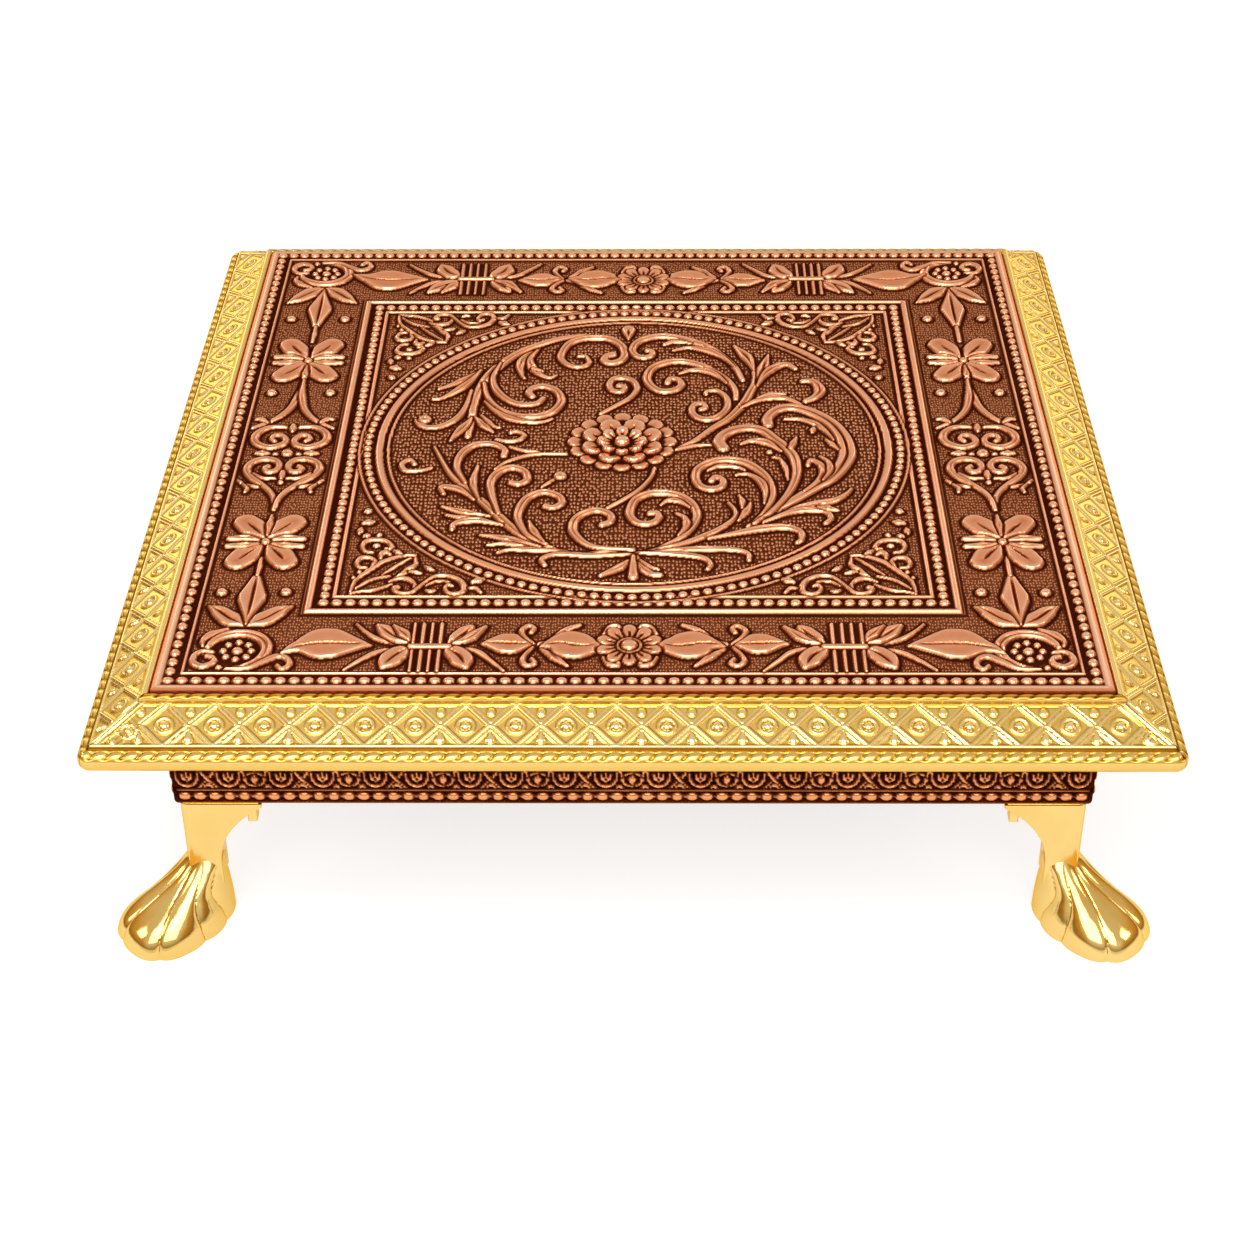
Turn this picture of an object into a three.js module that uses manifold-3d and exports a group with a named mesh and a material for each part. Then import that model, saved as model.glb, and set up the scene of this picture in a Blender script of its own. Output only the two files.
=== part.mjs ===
// Bajot: a low square table. A wooden board with a sloping edge moulding and an apron box is clad
// in embossed copper and brass sheet, and stands on four cast brass paw legs screwed up into the apron.
// Millimetres, +Z up, front towards -Y. The origin is on the floor under the middle of the table.
import * as THREE from "three";
import * as BufferGeometryUtils from "three/addons/utils/BufferGeometryUtils.js";
import Module from "manifold-3d";

const wasm = await Module();
wasm.setup();

// Clearances
const fitGap = 0.3;        // between a sheet and its wood, and between neighbours that meet
const mitreGap = 0.3;      // open line in each mitred corner
const boreClearance = 0.3; // round every screw and tack
const cutOverrun = 1;      // how far a cut runs past the face it opens
const bedDepth = 0.2;      // how deep a raised form is rooted in the sheet that carries it
const weldShare = 1e-4;    // of the sheet's thickness, within which doubled points are one

// Copper top panel
const panelSide = 334;
const copperSheet = 0.6;
const copperLipDepth = 5;
const rimWidth = 2.2;            // flat rim outside the bead channel
const outerRidgeInset = 9.6;     // centre of the ridge outside the border band
const frameRidgeInset = 48.6;    // centre of the broad ridge inside the border band
const innerRidgeInset = 58;      // centre of the ridge next to the round medallion
const frameForward = 1.8;        // both of these stand nearer the front
const fineRidgeRadius = 0.8;
const broadRidgeRadius = 1.7;
const ridgeRise = 0.9;
const beadRowRadius = 1.8;       // low rounded ridges stand for the rows of beads
const beadRowRise = 1.1;
const outerBeadInset = 5.4;
const innerBeadInset = 54.1;
const ringBeadInset = 3.9;       // inside the medallion's ring
const fieldDrop = 0.3;           // the worked ground lies below the rim

// Round medallion
const medallionRadius = 110.5;   // outside of its ring
const medallionForward = 2.5;
const ringBeadWidth = 9;
const ringRollRadius = 3.2;
const ringRise = 1.3;
const ringFacets = 44;
const rosetteRadius = 22;
const rosetteLeft = 4.9;         // of the table's middle
const rosetteForward = 2.1;
const rosettePetals = 8;
const rosetteTierRise = 0.75;
const rosetteTierShares = [1, 0.7, 0.42];
const rosetteBossRadius = 4;
const rosetteBossRise = 2.6;

// Bosses in the border band
const cornerBossRadius = 7;
const flowerRadius = 17;
const flowerPetals = 4;
const leafBossRadius = 9;
const daisyRadius = 9;
const bandFlowerShare = 0.384;   // place of a flower along half the side
const bandLeafShare = 0.44;

// Main scrolls and leaves, raised from the field as low ridges. A path is x and y of each of its points,
// in hundredths of half the panel's side.
const scrollHalfWidth = 1.9;
const leafHalfWidth = 3.4;
const scrollRise = 1.1;
const scrollTopShare = 0.5;      // width of a ridge's top
const scrollFacets = 5;
const medallionScrolls = [
  [-7, 51, -19, 50, -30, 42, -37, 30, -40, 15, -40, 2],
  [-12, 38, -17, 35, -19, 42, -15, 49, -7, 50, -3, 42, -7, 37],
  [-38, 27, -34, 14, -24, 10, -18, 18, -23, 25, -26, 21],
  [-25, 44, -29, 36, -27, 29],
  [-39, 34, -44, 24, -50, 19],
  [-41, 23, -44, 10, -50, 5, -53, 9],
  [-8, 12, -1, 20, 0, 27, -5, 29, -6, 23],
  [27, 28, 23, 39, 16, 47, 7, 51, 0, 47, 1, 40],
  [25, 19, 23, 29, 16, 37, 8, 37, 3, 28, 8, 23, 11, 28],
  [18, 22, 23, 20, 22, 12, 16, 9, 15, 15],
  [10, -5, 19, 5, 26, 15, 30, 30, 26, 45],
  [31, 27, 34, 41],
  [26, 15, 33, 19, 41, 16],
  [42, 28, 46, 24, 42, 18],
  [32, 7, 36, 14, 43, 12, 49, 5, 51, -5, 48, -15, 40, -26, 27, -38],
  [1, -49, 9, -45, 14, -36, 12, -27, 5, -24, 0, -30, 4, -36],
  [1, -49, 15, -43, 23, -34, 22, -28],
  [26, -38, 32, -28, 31, -16, 24, -10, 16, -12, 16, -21, 20, -20],
  [28, -37, 36, -25, 38, -13, 35, -2, 28, 5, 21, 1],
  [31, -35, 42, -29, 51, -22],
  [17, -43, 31, -39, 38, -43],
  [1, -49, 15, -48, 26, -51],
  [5, -13, 1, -23, -7, -32],
  [0, -47, -12, -50, -23, -44, -34, -30, -43, -16, -48, -4],
  [0, -48, -9, -46, -14, -37, -8, -32, -6, -37],
  [-20, -45, -26, -36, -24, -25, -17, -27],
  [-31, -33, -34, -19, -29, -13, -25, -19],
  [-40, -20, -41, -7, -34, -2, -31, -7],
  [-33, -34, -44, -30],
  [-21, -47, -35, -42],
  [0, -50, -17, -50, -20, -54],
  [-8, -58, 0, -51, 7, -58],
];
// For one quarter of the panel, near left; the rest are its mirror images.
const borderScrolls = [
  [-83, -31, -87, -21, -92, -14, -88, -9, -84, -14],
  [-83, -31, -79, -21, -74, -14, -78, -9, -82, -14],
  [-50, -65, -42, -59, -40, -64],
];
const borderLeaves = [
  [-84, -77, -91, -71],
  [-82, -77, -76, -71],
  [-83, -73, -83, -60],
  [-74, -85, -60, -84],
  [-33, -84, -21, -84],
  [-15, -84, -8, -84],
  [-61, -64, -51, -52],
];

// Wooden board and moulding
const boardThickness = 16;

// Brass edge strip, as widths outward from the copper panel
const brassSheet = 0.6;
const edgeGap = 0.4;
const turndownDepth = 4;
const innerRopeRadius = 1.65;
const innerRopeDrop = 1.4;       // its centre below the panel
const lineDrop = 3.5;            // foot of the inner rope below the panel
const bandRun = 15.2;            // level width of the sloping diamond band
const bandDrop = 6.7;
const grooveWidth = 1.3;
const grooveDrop = 1.2;
const ropeSetOut = 0.2;          // centre of the outer rope beyond the groove
const outerRopeRadius = 3.1;
const skirtDepth = 1.1;          // plain upright stretch below the outer rope
const edgeFlangeWidth = 13;      // turned under the moulding
const edgeCornerRadius = 4.5;
const ropeSteps = 6;
const frontDiamonds = 20;         // on the front and on the back
const diamondStartRoom = 8.7;    // from the left mitre to their row
const diamondEndRoom = 1.9;
const sideDiamonds = 17;          // on the left and on the right
const sideDiamondRoom = 0.8;
const diamondRise = 0.9;
const diamondWidthShare = 0.86;

// Apron
const apronInset = 2;            // apron face inside the panel's edge
const apronDepth = 36.5;
const railThickness = 16;
const apronFlangeWidth = 14;
const apronCornerRadius = 1.6;
const apronBeadRadius = 1.7;
const apronBeadRise = 4;         // centre of the bead row above the apron's lower edge
const apronBeadBulge = 0.9;
const apronFilletRadius = 0.5;
const apronFilletRise = 6.6;
const cornerBlockSide = 30;

// Cast brass leg, with its own corner at the apron's corner
const legHeight = 53.6;
const legInset = 1.4;
const columnWidth = 14.7;
const legCornerRadius = 3;
const earTipHeight = 1.6;
const earThickness = 4.6;
const earScrewRoom = 0.75;       // round a screw's head, to the column, the ear and the lug
const waistShare = 0.96;         // width of the column at the ankle
const earBendShare = 0.42;       // how far down the ear's curve turns
const ankleHeight = 24.5;
const seatInset = 0.8;           // shadow line under the apron
const seatHeight = 1.2;
const topPlateThickness = 3;
const lugWidth = 3.4;
const lugLength = 5;
const lugDrop = 12.4;
const lugSetBack = 2.8;          // from the ear's tip
const lugRound = 1.6;

// Paw foot, measured along the diagonal, outwards from the apron's corner
const pawMiddleOut = 8;
const pawFront = 19.8;           // from its middle to the toes
const pawRear = 26.3;
const pawHalfWidth = 16.9;
const pawGrooveDepth = 1.6;
const pawPoints = 36;
const pawFrontPower = 2.6;       // exponents of the two halves of the outline
const pawRearPower = 2;
// Rings of the paw: height as a share of the ankle's, reaches and width as shares of the base's,
// how far the ring's middle has moved from the base's middle to the column's, and the groove's depth.
const pawRingShares = [
  { height: 0, front: 0.99, rear: 0.99, width: 0.99, drift: 0, groove: 0.3 },
  { height: 0.1, front: 1, rear: 1, width: 1, drift: 0, groove: 0.5 },
  { height: 0.25, front: 0.99, rear: 0.99, width: 1, drift: 0.01, groove: 0.8 },
  { height: 0.38, front: 0.93, rear: 0.95, width: 0.97, drift: 0.05, groove: 1 },
  { height: 0.57, front: 0.77, rear: 0.83, width: 0.87, drift: 0.17, groove: 1 },
  { height: 0.76, front: 0.57, rear: 0.65, width: 0.7, drift: 0.42, groove: 0.9 },
  { height: 0.94, front: 0.4, rear: 0.41, width: 0.52, drift: 0.76, groove: 0.5 },
  { height: 1.12, front: 0.32, rear: 0.26, width: 0.4, drift: 1, groove: 0 },
];
const pawGrooveAngles = [40, 100, 150].map(THREE.MathUtils.degToRad);
const pawGrooveSpread = THREE.MathUtils.degToRad(12);

// Fasteners
const screw = { shank: 1.8, head: 3.6, headHeight: 2.2, slotWidth: 0.9, slotDepth: 1, grip: 16, sides: 10 };
const blockScrewGrip = 12;       // into the board
const boreSides = 8;
const tack = { shank: 0.7, head: 2.2, headHeight: 1, grip: 9, sides: 6 };
const roundHeadShares = [[0, 1], [0.5, 0.86], [0.87, 0.5], [1, 0]]; // of a head's radius and height
const tackAlongShare = 0.4;      // along half a strip
const tackFromEdge = 5;          // from the free edge of a flange

// The leg's screws and the tip of its ear, from the apron's corner. The ear reaches past the screw's
// head and the lug.
const legScrewAlong = legInset + columnWidth + earScrewRoom + screw.head;
const legScrewIn = legInset + earThickness + earScrewRoom + screw.head;
const earReach = legScrewAlong + screw.head + earScrewRoom + lugWidth + lugSetBack;

// Places worked out from the sizes above
const panelHalf = panelSide / 2;
const apronHalf = panelHalf - apronInset;
const apronBottom = legHeight + fitGap;
const boardBottom = apronBottom + apronDepth;
const boardTop = boardBottom + boardThickness;
const panelTop = boardTop + copperSheet;
const railBottom = apronBottom + copperSheet + fitGap;
const railFace = apronHalf - copperSheet - fitGap;
const fieldHeight = panelTop - fieldDrop;
const quarter = Math.PI / 2;
const sides = ["front", "right", "back", "left"];
const corners = ["front_left", "front_right", "back_right", "back_left"];

const finishes = {
  copper: { color: 0xc07048, roughness: 0.38, metalness: 0.85 },
  apronCopper: { color: 0x9a4424, roughness: 0.42, metalness: 0.85 },
  brass: { color: 0xe0b64c, roughness: 0.28, metalness: 0.9 },
  castBrass: { color: 0xe8c060, roughness: 0.18, metalness: 0.92 },
  wood: { color: 0x8a5a34, roughness: 0.75, metalness: 0 },
  railWood: { color: 0x7a4d2c, roughness: 0.8, metalness: 0 },
  screwBrass: { color: 0xb8923c, roughness: 0.35, metalness: 0.9 },
};

const table = new THREE.Group();

// A named mesh with a finish of its own, put in a group.
function place(name, geometry, finish, parent = table) {
  const mesh = new THREE.Mesh(geometry, new THREE.MeshStandardMaterial(finishes[finish]));
  mesh.name = name;
  parent.add(mesh);
  return mesh;
}

// A group turned a number of quarter turns about the table's axis.
function turned(index) {
  const group = new THREE.Group();
  group.rotation.z = index * quarter;
  table.add(group);
  return group;
}

// A three.js geometry as a solid: only positions are kept, and doubles are merged.
function solid(geometry) {
  const bare = new THREE.BufferGeometry();
  const source = geometry.index ? geometry.toNonIndexed() : geometry;
  bare.setAttribute("position", source.getAttribute("position").clone());
  const merged = BufferGeometryUtils.mergeVertices(bare, weldShare * copperSheet);
  const index = merged.getIndex().array;
  const faces = [];
  for (let i = 0; i < index.length; i += 3) {
    const [a, b, c] = [index[i], index[i + 1], index[i + 2]];
    if (a !== b && b !== c && c !== a) faces.push(a, b, c);
  }
  return new wasm.Manifold(new wasm.Mesh({
    numProp: 3,
    vertProperties: new Float32Array(merged.getAttribute("position").array),
    triVerts: new Uint32Array(faces),
  }));
}

// A solid back as a three.js geometry.
function surface(body) {
  const mesh = body.getMesh();
  const geometry = new THREE.BufferGeometry();
  geometry.setAttribute("position", new THREE.BufferAttribute(mesh.vertProperties, 3));
  geometry.setIndex(new THREE.BufferAttribute(mesh.triVerts, 1));
  return geometry;
}

// A box between two corners.
function boxBetween(low, high) {
  const size = high.map((value, axis) => value - low[axis]);
  const middle = high.map((value, axis) => (value + low[axis]) / 2);
  return solid(new THREE.BoxGeometry(...size).translate(...middle));
}

// A body of revolution about the vertical, from [radius, height] pairs that run up its outside.
function turnedBody(profile, segments) {
  const points = profile.map(([radius, height]) => new THREE.Vector2(radius, height));
  return new THREE.LatheGeometry(points, segments).rotateX(quarter);
}

// An upright cylinder.
function upright(radius, bottom, top, segments, x = 0, y = 0) {
  const profile = [[0, bottom], [radius, bottom], [radius, top], [0, top]];
  return solid(turnedBody(profile, segments).translate(x, y, 0));
}

// A flat outline extruded upwards.
function slab(shape, bottom, height, curveSegments = 6) {
  return solid(new THREE.ExtrudeGeometry(shape, { depth: height, bevelEnabled: false, curveSegments })
    .translate(0, 0, bottom));
}

// The front one of four mitred lengths round a square. The section is a closed list of [out, height]
// pairs, anticlockwise seen from the left end, with out measured from the table's axis.
// Its corners are rounded, all about the same centre, where a point lies near the outside.
function mitredLength(section, outside, cornerRadius, arcSteps = 3) {
  const stations = [];
  for (const end of [-1, 1]) {
    for (let step = 0; step <= arcSteps; step++) {
      const turn = (quarter / 2) * (end < 0 ? step / arcSteps - 1 : step / arcSteps);
      stations.push({ end, turn });
    }
  }
  const ring = stations.map(({ end, turn }) => section.map(([out, height]) => {
    const radius = Math.max(0, cornerRadius - (outside - out));
    const centre = out - radius;
    const x = end * (centre - mitreGap / 2) + radius * Math.sin(turn);
    return [x, -centre - radius * Math.cos(turn), height];
  }));
  const cap = THREE.ShapeUtils.triangulateShape(section.map((point) => new THREE.Vector2(...point)), []);
  const positions = [];
  const count = section.length;
  for (let i = 0; i + 1 < ring.length; i++) {
    for (let j = 0; j < count; j++) {
      const k = (j + 1) % count;
      positions.push(...ring[i][j], ...ring[i + 1][j], ...ring[i + 1][k]);
      positions.push(...ring[i][j], ...ring[i + 1][k], ...ring[i][k]);
    }
  }
  const last = ring.at(-1);
  for (const [a, b, c] of cap) {
    positions.push(...ring[0][a], ...ring[0][b], ...ring[0][c]);
    positions.push(...last[a], ...last[c], ...last[b]);
  }
  const geometry = new THREE.BufferGeometry();
  geometry.setAttribute("position", new THREE.BufferAttribute(new Float32Array(positions), 3));
  return solid(geometry);
}

// Moves an open outline of [out, height] pairs to its right by a distance, with sharp corners kept.
function offsetOutline(outline, distance) {
  const normals = outline.slice(1).map(([out, height], i) => {
    const [fromOut, fromHeight] = outline[i];
    const length = Math.hypot(out - fromOut, height - fromHeight);
    return [(height - fromHeight) / length, -(out - fromOut) / length];
  });
  return outline.map(([out, height], i) => {
    const before = normals[Math.max(0, i - 1)];
    const after = normals[Math.min(normals.length - 1, i)];
    const share = 1 + before[0] * after[0] + before[1] * after[1];
    return [
      out + (distance * (before[0] + after[0])) / share,
      height + (distance * (before[1] + after[1])) / share,
    ];
  });
}

// Points on an arc in the [out, height] plane, angles from +out towards +height.
function arcPoints(out, height, radius, from, to, steps) {
  return Array.from({ length: steps + 1 }, (_, i) => {
    const angle = THREE.MathUtils.degToRad(from + ((to - from) * i) / steps);
    return [out + radius * Math.cos(angle), height + radius * Math.sin(angle)];
  });
}

// Fasteners
// A round-head fastener, head down, its seat at the given height and its pointed shank upwards.
function roundHeaded({ shank, head, headHeight, sides: facets }, seat, length) {
  const crown = roundHeadShares.map(([radius, height]) => [radius * head, seat - height * headHeight]);
  const stem = [[shank, seat], [shank, seat + length - shank], [0, seat + length]];
  return solid(turnedBody([...crown, ...stem], facets));
}

function slottedScrew(seat, length) {
  const { head, headHeight, slotWidth, slotDepth } = screw;
  const slot = boxBetween(
    [-head - cutOverrun, -slotWidth / 2, seat - headHeight - cutOverrun],
    [head + cutOverrun, slotWidth / 2, seat - headHeight + slotDepth],
  );
  return roundHeaded(screw, seat, length).subtract(slot);
}

// The upright hole that a fastener needs.
function bore(shank, bottom, top, x, y) {
  return upright(shank + boreClearance, bottom, top, boreSides, x, y);
}

// Places of the fasteners in the front length of a square
const legScrewPlaces = [-1, 1].map((end) => [end * (apronHalf - legScrewAlong), -(apronHalf - legScrewIn)]);
const legScrewSeat = legHeight - topPlateThickness - fitGap;
const legScrewTop = legScrewSeat + screw.grip;
const apronTackPlaces = [-1, 1].map((end) => [
  end * apronHalf * tackAlongShare, -(apronHalf - apronFlangeWidth + tackFromEdge),
]);
const apronTackSeat = apronBottom - fitGap;

// Edge section, from the panel outwards
const ropeStart = panelHalf + edgeGap;
const lineOut = ropeStart + 2 * innerRopeRadius;
const ridgeOut = lineOut + bandRun;
const ridgeHeight = panelTop - lineDrop - bandDrop;
const grooveOut = ridgeOut + grooveWidth;
const grooveHeight = ridgeHeight - grooveDrop;
const outerRopeOut = grooveOut + ropeSetOut;
const edgeHalf = outerRopeOut + outerRopeRadius;
const ropeTilt = Math.acos(-ropeSetOut / outerRopeRadius);
const outerRopeHeight = grooveHeight - outerRopeRadius * Math.sin(ropeTilt);
const edgeBottom = outerRopeHeight - skirtDepth - outerRopeRadius;
const plainEdge = [
  [ropeStart, panelTop - innerRopeDrop - turndownDepth],
  [ropeStart, panelTop - lineDrop + innerRopeRadius / 2],
  [ropeStart + innerRopeRadius, panelTop - innerRopeDrop],
  [lineOut, panelTop - lineDrop],
  [ridgeOut, ridgeHeight],
  [grooveOut, grooveHeight],
  ...arcPoints(outerRopeOut, outerRopeHeight, outerRopeRadius, 65, 0, 2),
  ...arcPoints(outerRopeOut, outerRopeHeight - skirtDepth, outerRopeRadius, 0, -90, 3),
  [outerRopeOut - edgeFlangeWidth, edgeBottom],
];
const raisedEdge = [
  plainEdge[0],
  ...arcPoints(ropeStart + innerRopeRadius, panelTop - innerRopeDrop, innerRopeRadius, 180, 0, ropeSteps),
  ...plainEdge.slice(3),
];
const edgeTackPlaces = [-1, 1].map((end) => [
  end * edgeHalf * tackAlongShare, -(outerRopeOut - edgeFlangeWidth + tackFromEdge),
]);
const edgeTackSeat = edgeBottom - fitGap;

// Low four-sided points along the sloping band, one for each diamond.
function diamonds(count, startRoom, endRoom) {
  const slope = Math.atan2(bandDrop, bandRun);
  const middle = lineOut + bandRun / 2;
  const height = panelTop - lineDrop - bandDrop / 2;
  const tall = diamondRise + bedDepth;
  const pitch = (2 * middle - startRoom - endRoom) / count;
  const halfWidth = (pitch * diamondWidthShare) / 2;
  const halfLength = (Math.hypot(bandRun, bandDrop) * diamondWidthShare) / 2;
  return Array.from({ length: count }, (_, i) => {
    const x = startRoom - middle + (i + 1 / 2) * pitch;
    const point = new THREE.ConeGeometry(halfWidth, tall, 4).rotateX(quarter);
    point.scale(1, halfLength / halfWidth, 1).translate(0, 0, tall / 2 - bedDepth);
    return solid(point.rotateX(slope).translate(x, -middle, height));
  });
}

function edgeStrip(side) {
  const upDown = side === "left" || side === "right";
  const row = upDown ? diamonds(sideDiamonds, sideDiamondRoom, sideDiamondRoom)
    : diamonds(frontDiamonds, diamondStartRoom, diamondEndRoom);
  const section = [...raisedEdge, ...offsetOutline(plainEdge, brassSheet).reverse()];
  let body = mitredLength(section.reverse(), edgeHalf, edgeCornerRadius);
  for (const point of row) body = body.add(point);
  for (const [x, y] of edgeTackPlaces) {
    body = body.subtract(bore(tack.shank, edgeTackSeat, edgeTackSeat + tack.grip, x, y));
  }
  return surface(body);
}

function edgeMoulding() {
  const top = offsetOutline(plainEdge, brassSheet + fitGap).slice(1, -1);
  const rebateFloor = panelTop - Math.max(copperSheet + copperLipDepth, innerRopeDrop + turndownDepth) - fitGap;
  const face = panelHalf - copperSheet + fitGap;
  const bottom = top.at(-1)[1];
  const section = [...top, [face, bottom], [face, rebateFloor], [top[0][0], rebateFloor]];
  let body = mitredLength(section.reverse(), edgeHalf, edgeCornerRadius);
  for (const [x, y] of edgeTackPlaces) {
    body = body.subtract(bore(tack.shank, edgeTackSeat, edgeTackSeat + tack.grip + boreClearance, x, y));
  }
  return surface(body);
}

// Apron
function apronStrip() {
  const top = boardBottom - fitGap;
  const beadHeight = apronBottom + apronBeadRise;
  const filletHeight = apronBottom + apronFilletRise;
  const bead = (height, radius, bulge) => [-1, -0.5, 0.5, 1].map((share) => [
    apronHalf + bulge * Math.sqrt(1 - share * share), height - share * radius,
  ]);
  const section = [
    [apronHalf - copperSheet, top], [apronHalf, top],
    ...bead(filletHeight, apronFilletRadius, apronFilletRadius),
    ...bead(beadHeight, apronBeadRadius, apronBeadBulge),
    [apronHalf, apronBottom], [apronHalf - apronFlangeWidth, apronBottom],
    [apronHalf - apronFlangeWidth, apronBottom + copperSheet],
    [apronHalf - copperSheet, apronBottom + copperSheet],
  ];
  let body = mitredLength(section.reverse(), apronHalf, apronCornerRadius);
  for (const [x, y] of legScrewPlaces) body = body.subtract(bore(screw.shank, legHeight, railBottom, x, y));
  for (const [x, y] of apronTackPlaces) body = body.subtract(bore(tack.shank, legHeight, railBottom, x, y));
  return surface(body);
}

function apronRail() {
  const inside = railFace - railThickness;
  const section = [[inside, railBottom], [railFace, railBottom], [railFace, boardBottom], [inside, boardBottom]];
  let body = mitredLength(section, railFace, copperSheet);
  for (const [x, y] of legScrewPlaces) {
    body = body.subtract(bore(screw.shank, legHeight, legScrewTop + boreClearance, x, y));
  }
  for (const [x, y] of apronTackPlaces) {
    body = body.subtract(bore(tack.shank, legHeight, apronTackSeat + tack.grip + boreClearance, x, y));
  }
  return surface(body);
}

// Corner blocks, inside the rails and under the board, each with one screw up into the board
const blockOuter = railFace - railThickness - fitGap;
const blockMiddle = blockOuter - cornerBlockSide / 2;
const blockScrewSeat = railBottom - fitGap;
const blockScrewLength = boardBottom - blockScrewSeat + blockScrewGrip;

function cornerBlock() {
  const inner = blockOuter - cornerBlockSide;
  const block = boxBetween([-blockOuter, -blockOuter, railBottom], [-inner, -inner, boardBottom]);
  return surface(block.subtract(bore(
    screw.shank, railBottom - cutOverrun, boardBottom + cutOverrun, -blockMiddle, -blockMiddle,
  )));
}

function topBoard() {
  const half = panelHalf - copperSheet;
  let board = boxBetween([-half, -half, boardBottom], [half, half, boardTop]);
  for (const x of [-blockMiddle, blockMiddle]) {
    for (const y of [-blockMiddle, blockMiddle]) {
      const top = blockScrewSeat + blockScrewLength + boreClearance;
      board = board.subtract(bore(screw.shank, boardBottom - cutOverrun, top, x, y));
    }
  }
  return surface(board);
}

// Copper top
// A four-sided turned body stands square to the table once it is turned an eighth, and its flats lie
// at cos 45 of its radius.
function squareBody(profile) {
  const flat = Math.SQRT2;
  return solid(turnedBody(profile.map(([out, height]) => [out * flat, height]), 4).rotateZ(quarter / 2));
}

// A low ridge round a square, seen in section from its outer foot to its inner one.
function ridgeProfile(out, radius, rise = ridgeRise) {
  return [
    [out + radius, fieldHeight], [out + radius / 2, fieldHeight + rise],
    [out - radius / 2, fieldHeight + rise], [out - radius, fieldHeight],
  ];
}

function frameRidge(inset, radius, rise) {
  const out = panelHalf - inset;
  const bed = fieldHeight - bedDepth;
  const foot = [out - radius, bed];
  return squareBody([foot, [out + radius, bed], ...ridgeProfile(out, radius, rise), foot])
    .translate([0, -frameForward, 0]);
}

// A flat rosette with round petals, the first of them at a given angle.
function petalShape(radius, petals, start = 0) {
  const petal = (radius * Math.sin(Math.PI / petals)) / (1 + Math.sin(Math.PI / petals));
  const shape = new THREE.Shape();
  for (let i = 0; i < petals; i++) {
    const angle = start + (2 * Math.PI * i) / petals;
    const x = (radius - petal) * Math.cos(angle);
    const y = (radius - petal) * Math.sin(angle);
    shape.absarc(x, y, petal, angle - quarter, angle + quarter, false);
  }
  return shape;
}

function rosette() {
  let body = upright(rosetteBossRadius, fieldHeight - bedDepth, fieldHeight + rosetteBossRise, 2 * rosettePetals);
  rosetteTierShares.forEach((share, tier) => {
    const height = bedDepth + rosetteTierRise * (tier + 1);
    body = body.add(slab(petalShape(rosetteRadius * share, rosettePetals), fieldHeight - bedDepth, height, 3));
  });
  return body;
}

function medallionRing() {
  const bed = fieldHeight - bedDepth;
  const rollOut = medallionRadius - ringBeadWidth - ringRollRadius;
  const roll = [180, 140, 90, 40, 0].map((angle) => {
    const turn = THREE.MathUtils.degToRad(angle);
    return [rollOut + ringRollRadius * Math.cos(turn), fieldHeight + ringRise * Math.sin(turn)];
  });
  const outer = [
    [medallionRadius - 2 * fineRidgeRadius, fieldHeight],
    [medallionRadius - fineRidgeRadius, fieldHeight + ridgeRise],
    [medallionRadius, fieldHeight],
  ];
  const beads = ridgeProfile(medallionRadius - ringBeadInset, beadRowRadius, beadRowRise).reverse();
  return [roll, beads, outer].map((top) => {
    const [start, end] = [top[0][0], top.at(-1)[0]];
    return solid(turnedBody([[start, bed], [end, bed], ...[...top].reverse(), [start, bed]], ringFacets));
  });
}

// A low ridge along a path: each stretch is the hull of a flat-topped cone at either end.
function ridges(paths, halfWidth, across = 1, along = 1) {
  const corner = (x, y) => Array.from({ length: scrollFacets }, (_, i) => {
    const angle = (2 * Math.PI * i) / scrollFacets;
    const [c, s] = [halfWidth * Math.cos(angle), halfWidth * Math.sin(angle)];
    return [
      [x + c, y + s, fieldHeight - bedDepth],
      [x + c * scrollTopShare, y + s * scrollTopShare, fieldHeight + scrollRise],
    ];
  }).flat();
  const point = (path, i) => corner((across * path[i] * panelHalf) / 100, (along * path[i + 1] * panelHalf) / 100);
  return paths.flatMap((path) => path.slice(0, -2).map((_, i) => i).filter((i) => i % 2 === 0)
    .map((i) => wasm.Manifold.hull([...point(path, i), ...point(path, i + 2)])));
}

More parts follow.
